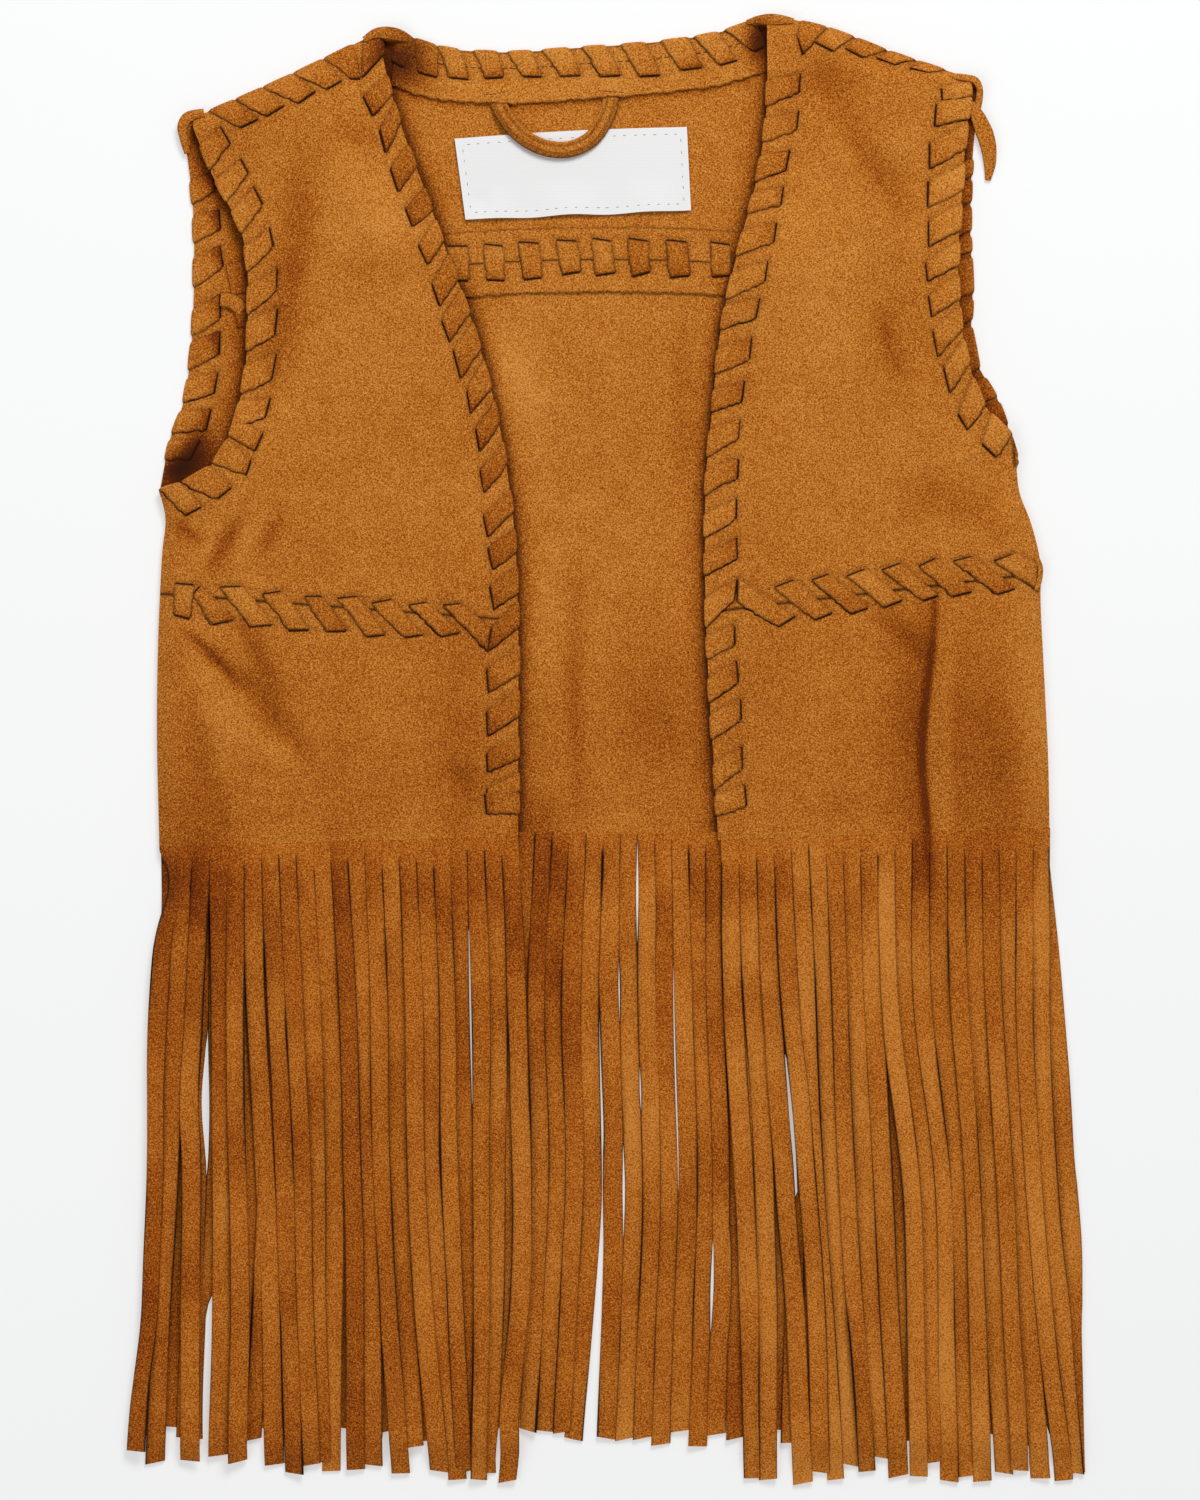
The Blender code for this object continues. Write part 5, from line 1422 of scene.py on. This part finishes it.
def strand_lines(title, row, openings, rng):
    """Share of the length at each point of a strand, middles of the strands in plan, and their half
    widths to the left and right. Openings of the layers above stay clear, and new ones are added."""
    count = row.count
    pitch = (row.root_right - row.root_left) / count
    f = np.linspace(0.0, 1.0, STRAND_STATIONS) ** STRAND_CROWD
    t = (np.arange(count) + 0.5) / count
    root_x = row.root_left + (row.root_right - row.root_left) * t
    root_h = row.root_h_left + (row.root_h_right - row.root_h_left) * t
    known = np.array(STRANDS[title])
    number = np.arange(count)
    aside_a, aside_b, aside_tip, tip_h = [np.interp(number, known[:, 0], column) for column in known[:, 1:].T]
    guessed = ~np.isin(number, known[:, 0])
    tip_h = tip_h + guessed * rng.normal(0.0, STRAND_RAGGED, count)
    x, h = np.zeros((count, len(f))), np.zeros((count, len(f)))
    for k in range(count):
        asides, heights = (0.0, aside_a[k], aside_b[k], aside_tip[k]), (root_h[k], *STRAND_LEVELS, tip_h[k])
        line = smooth([(root_x[k] + aside, height, 0.0) for aside, height in zip(asides, heights)])
        x[k], h[k] = along(line, f * lengths(line)[-1])[:, :2].T
    x += smoothed(rng.normal(size=x.shape), *SWAY_EVEN) * STRAND_SWAY * f ** SWAY_GROWS
    free = ease(f / HELD)
    for bow in BOWS:
        if bow.fringe == title:
            x[bow.number] += bow.shift * fade(h[bow.number] - bow.h, bow.reach) * free
    apart = np.diff(x, axis=0)
    apart = np.vstack([apart[:1], apart, apart[-1:]])
    loose = ease((f - LOOSE_FROM) / LOOSE_RUN)
    least = pitch / 2 + (STRAND_WIDTH / 2 - NARROWER - pitch / 2) * loose
    half = np.maximum(np.minimum(apart / 2 + STRAND_OVERLAP * loose, STRAND_WIDTH / 2 + WIDER), least)
    for parting in PARTINGS[title]:
        k = parting.after
        openings.append((parting, h[k][::-1], (x[k] + x[k + 1])[::-1] / 2))
    for parting, line_h, line_x in openings:
        beside = x - np.interp(h, line_h, line_x)
        spread = fade(h - parting.h, parting.reach)
        on_left = beside[number, np.abs(h - parting.h).argmin(axis=1)][:, None] < 0
        into = np.where(on_left, beside + half[1:], half[:-1] - beside) + parting.width / 2 * spread
        x = x + np.where(on_left, -1.0, 1.0) * np.maximum(into, 0.0) * ease(spread / OPENING_FULL) * free
    return f, x, h, half


def fringe_piece(title, hem_top, hem_shade, openings, material, rng):
    """Strands cut from the panel: at one with it down to their slits, then each for itself."""
    row = FRINGES[title]
    f, x, h, half_widths = strand_lines(title, row, openings, rng)
    count = row.count
    roll = smoothed(rng.normal(size=x.shape), *ROLL_EVEN) * STRAND_ROLL * ease(f / TURN_RUN)
    tier = np.cumsum(rng.integers(1, row.layers, count))[:, None] % row.layers
    settled = row.level + tier * STRAND_STEP
    settled = settled + (TIP_LEVEL + tier * TIP_STEP - settled) * ease((row.drop_h - h) / DROP_RUN)
    slits = rng.uniform(*row.slits, count + 1) / (h[0, 0] - h[0, -1])
    edge_dark = rng.uniform(*LINE_DARK, (count, 2))
    slant = rng.uniform(-STRAND_SLANT, STRAND_SLANT, count)
    shade = (rng.normal(0.0, STRAND_UNEVEN, count)[:, None] + row.shade) * ease(f / OWN_NAP_RUN)
    for even_out, strength in STREAKS:
        shade = shade + smoothed(rng.normal(size=x.shape), *even_out) * strength * ease(f / STREAK_RUN)
    shade = shade + patched(SHADE_AND_TONE_PATCHES, x, h)
    line_rng = np.random.default_rng(LINE_SEED)
    lines = 1 + LINE_VARIES * smoothed(line_rng.normal(size=(count + 1, len(f))), *LINE_EVEN)
    lines = np.clip(lines, *LINE_LIMITS)
    root_twist_shade = line_rng.uniform(*ROOT_TWIST_SHADE, count)
    place_across, place_up = STRAND_RING.T
    side = np.sign(place_across)
    rim = np.interp(np.abs(place_across), (0.0, SHOULDER, BRINK), (0.0, SHOULDER_DARK, 1.0))
    on_shoulder = np.abs(place_across) == SHOULDER
    settling, panel_left = ease(f / SETTLE_RUN)[:, None], (1 - ease(f / CREASE_END))[:, None]
    in_tip = ease((f - TIP_FROM) / (1 - TIP_FROM))[:, None]
    shapes = []
    for k in range(count):
        left, right = [ease((f - slit) / SLIT_RUN)[:, None] for slit in slits[k:k + 2]]
        cut = np.where(side < 0, left, np.where(side > 0, right, np.maximum(left, right)))
        half = np.where(side < 0, half_widths[k][:, None], half_widths[k + 1][:, None])
        across = place_across * half
        up = np.where(place_up > 0, 1 + (place_up - 1) * cut, 0.0) * FRINGE_CLOTH
        turn_cos, turn_sin = np.cos(roll[k])[:, None], np.sin(roll[k])[:, None]
        ring_x = x[k][:, None] + across * turn_cos - (up - FRINGE_CLOTH / 2) * turn_sin
        root_h = np.full(len(side), h[k, 0])
        start = hem_top(ring_x[0], root_h) - FRINGE_CLOTH
        base = start + (settled[k][:, None] - start) * settling + np.abs(turn_sin) * half
        ring_z = base + FRINGE_CLOTH / 2 + across * turn_sin + (up - FRINGE_CLOTH / 2) * turn_cos
        ring_h = h[k][:, None] + slant[k] * place_across * in_tip
        rings = np.stack([ring_x, ring_h, np.maximum(ring_z, TABLE_GAP)], axis=-1)
        # Painted shadow in the gaps between strands, spreading onto their shoulders
        line = edge_dark[k][(side > 0).astype(int)] * np.where(side < 0, *lines[k:k + 2][..., None])
        dark = np.clip(rim * line + on_shoulder * np.maximum(line - LINE_SPREADS, 0.0), 0.0, 1.0) * cut
        # Painted shade from the panel's creases at the root, and on one side of a twisting strand by its root
        by_root = fade(h[k, 0] - h[k] - ROOT_TWIST_SHADE_DOWN, ROOT_TWIST_SHADE_REACH)[:, None]
        root_shade = hem_shade(ring_x[0], root_h) * panel_left
        root_shade = root_shade + root_twist_shade[k] * by_root * (1 - place_across) / 2
        shapes.append(tube(rings, dark, shade[k][:, None] + root_shade))
    return add_piece(f"fringe_{title}_strands", joined(shapes), material)


# Label, stitches and hang loop

# The label's lower edge ripples and its upper edge bows, as u and v go from 0 to 1 across and up it. The
# ripples also lift it, less and less upwards, and it dents by a corner.
RIPPLES = 17.0
RIPPLE_OUT = 0.35
RIPPLE_UP = 0.7
RIPPLE_FADE = 2.2
TOP_BOW = 0.7
LABEL_DENT = Patch(0.07, 0.2, 0.05, 0.16, 0.5)
LABEL_COLUMNS = 80
LABEL_ROWS = 30


def label_spot(u, v):
    """A point of the label in plan: u and v are shares of its width and height."""
    u, v = np.asarray(u, float)[..., None], np.asarray(v, float)[..., None]
    low, high = [LABEL_CORNERS[k, 0] + (LABEL_CORNERS[k, 1] - LABEL_CORNERS[k, 0]) * u for k in (0, 1)]
    bow = np.sin(np.pi * u)
    wave = RIPPLE_OUT * np.sin(u * RIPPLES) * bow * (1 - v) + TOP_BOW * bow * v
    spot_at = low + (high - low) * v + wave * np.array((0.0, 1.0))
    return spot_at[..., 0], spot_at[..., 1]


def label_under(u, v):
    """Height of the label's underside."""
    lift = RIPPLE_UP * ease(1.0 - RIPPLE_FADE * v) * (1 + np.sin(u * RIPPLES)) / 2
    return ON_BACK + SEAM_GAP + lift - patched([LABEL_DENT], u, v)


def label_piece(material):
    u, v = np.meshgrid(np.linspace(0.0, 1.0, LABEL_COLUMNS), np.linspace(0.0, 1.0, LABEL_ROWS))
    x, h = label_spot(u, v)
    base = label_under(u, v)
    blank = np.zeros(x.shape)
    return add_piece("label_cloth", shell(x, h, base + LABEL, base, blank, blank), material)


# A stitch: shares of its length with the thickness there
STITCH_RADIUS = 0.15
STITCH_SIDES = 6
STITCH_PROFILE = ((0.0, 0.4), (0.2, 1.0), (0.8, 1.0), (1.0, 0.4))
# Seam of the label: its distance from the edge, and its uneven stitches
STITCH_IN = 2.3
STITCH_PITCH = 3.4
STITCH_LENGTH = 1.1
STITCH_STARTS = (0.2, 0.4)
STITCH_VARIES = (0.8, 1.1)
# Seam of the facing: its distance from the neck edge, how far short of it both ends are, and its stitches
FACING_SEAM_IN = 5.6
FACING_SEAM_ENDS = (14.0, 12.0)
FACING_PITCH = 2.6
FACING_STITCH = 1.9
STITCH_AIR = 0.02
# Rows of stitches that hold the hang loop's ends, with pitch and length as shares of the row
LOOP_TACKS = (((-41.4, 256.4), (-34.0, 257.4)), ((-2.9, 257.9), (6.0, 257.2)))
TACK_COUNT = 5
TACK_PITCH = 0.2
TACK_STITCH = 0.16
TACK_UNEVEN = 0.15


def stitch(start, end):
    """A short thread between two points, thick in the middle."""
    start, end = np.array(start), np.array(end)
    up = np.array((0.0, 0.0, 1.0))
    aside = np.cross((end - start) / np.linalg.norm(end - start), up)
    angles = np.linspace(0, 2 * math.pi, STITCH_SIDES, endpoint=False)[:, None]
    rings = [start + (end - start) * share
             + STITCH_RADIUS * size * (aside * np.cos(angles) + up * np.sin(angles))
             for share, size in STITCH_PROFILE]
    return tube(np.array(rings), 0.0, 0.0)


def label_stitches(material, rng):
    in_u, in_v = STITCH_IN / LABEL_SIZE[0], STITCH_IN / LABEL_SIZE[1]
    corners = [np.array(c) for c in ((in_u, in_v), (1 - in_u, in_v), (1 - in_u, 1 - in_v), (in_u, 1 - in_v))]
    shapes = []
    for a, b in zip(corners, corners[1:] + corners[:1]):
        length = np.linalg.norm((b - a) * LABEL_SIZE)
        count = int(length / STITCH_PITCH)
        for k in range(count):
            begin = (k + rng.uniform(*STITCH_STARTS)) * length / count
            ends = []
            for s in (begin, begin + STITCH_LENGTH * rng.uniform(*STITCH_VARIES)):
                u, v = a + (b - a) * s / length
                ends.append((*label_spot(u, v), label_under(u, v) + LABEL))
            shapes.append(stitch(*ends))
    return add_piece("label_stitches", joined(shapes), material)


def facing_stitches(material, rng):
    """Thread that sews the facing down between the lace, and holds the ends of the loop."""
    line = BACK["neck"]
    rows = []
    for start in np.arange(FACING_SEAM_ENDS[0], lengths(line)[-1] - FACING_SEAM_ENDS[1], FACING_PITCH):
        ends = np.array((start, start + FACING_STITCH))
        rows.append(along(line, ends)[:, :2] - left_normal(line, ends) * FACING_SEAM_IN)
    for a, b in np.array(LOOP_TACKS):
        for s in np.arange(TACK_COUNT) * TACK_PITCH:
            drift = np.array((0.0, rng.normal(0.0, TACK_UNEVEN)))
            rows.append([a + (b - a) * s, a + (b - a) * (s + TACK_STITCH) + drift])
    shapes = [stitch(*[(*point, trim_top(*point) + STITCH_AIR) for point in pair]) for pair in rows]
    return add_piece("facing_stitches", joined(shapes), material)


# Hang loop: two stitched furrows at an angle either side of its top, with painted shade in them and on its
# outer side
LOOP_STEP = 0.6
LOOP_STATIONS = 90
LOOP_SIDES = 28
FURROW_ANGLE = 0.55
FURROW_HALF = 0.16
FURROW_DEPTH = 0.12
FURROW_DARK = 0.65
FURROW_STITCH = 1.9
FURROW_STITCH_DEPTH = 0.06
LOOP_OUTER_DARK = 0.7
LOOP_OUTER_HALF = 0.7
LOOP_NAP = 0.03


def hang_loop_piece(material):
    """A sewn tube, with two stitched furrows along its top."""
    route = smooth(LOOP_ROUTE, step=LOOP_STEP)
    s = np.linspace(0.0, lengths(route)[-1], LOOP_STATIONS)
    centre, normal = along(route, s), left_normal(route, s)
    angle = np.linspace(0, 2 * math.pi, LOOP_SIDES, endpoint=False)
    furrow = sum(fade(angle - math.pi / 2 - tilt, FURROW_HALF) for tilt in (-FURROW_ANGLE, FURROW_ANGLE))
    stitched = 0.5 + 0.5 * np.sin(s / FURROW_STITCH * 2 * math.pi)
    round_in = 1 - furrow[None] * (FURROW_DEPTH + FURROW_STITCH_DEPTH * stitched[:, None])
    from_root = ease(np.minimum(s, s[-1] - s) / LOOP_ROOT_RUN)[:, None]
    tall = LOOP_ROOT_HEIGHT + (LOOP_HEIGHT - LOOP_ROOT_HEIGHT) * from_root
    across = np.cos(angle) * LOOP_WIDTH / 2 * round_in
    up = tall / 2 * (1 + np.sin(angle) * round_in)
    # Painted shade in the furrows and on the loop's outer side
    dark = np.maximum(FURROW_DARK * furrow, LOOP_OUTER_DARK * fade(angle - math.pi, LOOP_OUTER_HALF))
    rings = np.concatenate([centre[:, None, :2] + normal[:, None] * across[..., None],
                            (centre[:, None, 2] + up)[..., None]], axis=-1)
    return add_piece("hang_loop_tube", tube(rings, dark[None], LOOP_NAP), material)


# The vest

PARTS = ("body", "yoke")


def wear(piece, *nodes):
    """The piece stands for its solids, which are hidden, and hangs from the root body."""
    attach(piece, "root")
    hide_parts(*nodes)


def dress():
    rng = np.random.default_rng(SEED)
    suede = {kind: brushed_suede(f"brushed_suede_{kind}", tones, CREVICE_SHADOW_BROWN)
             for kind, tones in SUEDE_TONES.items()}
    satin = woven_satin("woven_satin")
    pale_thread = sewing_thread("pale_thread", "#C2BAB5", "#9A908A")
    brown_thread = sewing_thread("brown_thread", "#6A3A12", "#3A1C07")
    worn, openings = {}, []
    for part in PARTS:
        worn[f"back_{part}"] = back_panel(part, suede["back"])
        for side in CUTS:
            worn[f"{side}_front_{part}"] = front_panel(side, part, suede["front"])
    for node, strip in trims().items():
        worn[node] = trim_strip(node, strip, suede["back"], rng)
    worn["label"] = label_piece(satin)
    worn["hang_loop"] = hang_loop_piece(suede["back"])
    worn["lace_tail"] = lace_tail_piece(suede["lace"])
    for side in CUTS:
        under, over = partial(front_under, side), partial(front_top, side)
        for edge, low, high, wrap in (("opening", under, over, "tucked"), ("armhole", under, over, "tucked"),
                                      ("shoulder", table_top, over, "on_table"),
                                      ("back_armhole", table_top, back_top, "on_table"),
                                      ("yoke", table_top, over, None)):
            node = f"lace_{side}_{edge}"
            worn[node] = lace_piece(node, low, high, wrap, suede["lace"], rng)
        title = f"{side}_front"
        worn[f"fringe_{title}"] = fringe_piece(title, over, partial(crease_shade, side), openings,
                                               suede["fringe"], rng)
    for node, wrap in (("lace_neck", "on_table"), ("lace_back_yoke", None)):
        worn[node] = lace_piece(node, table_top, trim_top, wrap, suede["lace"], rng)
    worn["fringe_back"] = fringe_piece("back", back_top, partial(crease_shade, "back"), openings,
                                       suede["fringe"], rng)
    for node, piece in worn.items():
        wear(piece, node)
    sewn = {"label": label_stitches(pale_thread, rng), "neck_facing": facing_stitches(brown_thread, rng)}
    for node, stitches in sewn.items():
        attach(stitches, "root")
    declare_sheets()


def declare_sheets():
    """Width, length and area in plan of each cut piece of cloth, and of the trims and label sewn on the back.
    The sizes are worked out here and not used.
    """
    cuts = {f"back_{part}": cut_size(back_edges(part)) for part in PARTS}
    for side in CUTS:
        cuts |= {f"{side}_front_{part}": cut_size(front_edges(side, part)) for part in PARTS}
    turnback = (lengths(back_seam())[-1] - sum(TURNBACK_ENDS), TURNBACK_DEPTH)
    strips = {
        "neck_facing": (lengths(BACK["neck"])[-1] - sum(FACING_ENDS), FACING_DEPTH - FACING_TOP),
        "back_yoke_turnback": turnback,
        "back_body_turnback": turnback,
        "label": LABEL_SIZE,
    }
    cuts |= {node: (*size, size[0] * size[1]) for node, size in strips.items()}


# Stage: floor, light and camera. Lengths here are metres.

FLOOR_SIZE = 8.0
WORLD_STRENGTH = 0.31
FRAME_HEIGHT = 0.510
FRAME_CENTRE = (-0.00221, -0.00034)
CAMERA_HEIGHT = 2.4
# Width of the camera's sensor in millimetres
SENSOR = 36.0


def area_light(name, spot_at, size, watts):
    """A round white light that faces the vest."""
    data = bpy.data.lights.new(name, "AREA")
    data.shape, data.size, data.energy = "DISK", size, watts
    light = bpy.data.objects.new(name, data)
    light.location = spot_at
    light.rotation_euler = (-light.location).to_track_quat("-Z", "Y").to_euler()
    bpy.context.collection.objects.link(light)


def stage():
    bpy.ops.object.select_all(action="DESELECT")
    bpy.ops.mesh.primitive_plane_add(size=FLOOR_SIZE, location=(0.0, 0.0, 0.0))
    floor = bpy.context.object
    floor.name = "floor"
    floor.data.materials.append(lit_board("white_acrylic"))
    area_light("key", spot_at=(0.35, 1.15, 1.3), size=0.8, watts=20.0)
    area_light("fill", spot_at=(-0.9, -0.3, 1.6), size=1.4, watts=8.2)
    world = bpy.data.worlds.new("studio")
    world.use_nodes = True
    world.node_tree.nodes["Background"].inputs["Color"].default_value = srgb("#FFFFFF")
    world.node_tree.nodes["Background"].inputs["Strength"].default_value = WORLD_STRENGTH
    bpy.context.scene.world = world
    bpy.context.scene.view_settings.view_transform = "Standard"
    data = bpy.data.cameras.new("overhead")
    data.sensor_width = SENSOR
    data.lens = SENSOR * CAMERA_HEIGHT / FRAME_HEIGHT
    camera = bpy.data.objects.new("overhead", data)
    camera.location = (*FRAME_CENTRE, CAMERA_HEIGHT)
    bpy.context.collection.objects.link(camera)
    bpy.context.scene.camera = camera


dress()
stage()
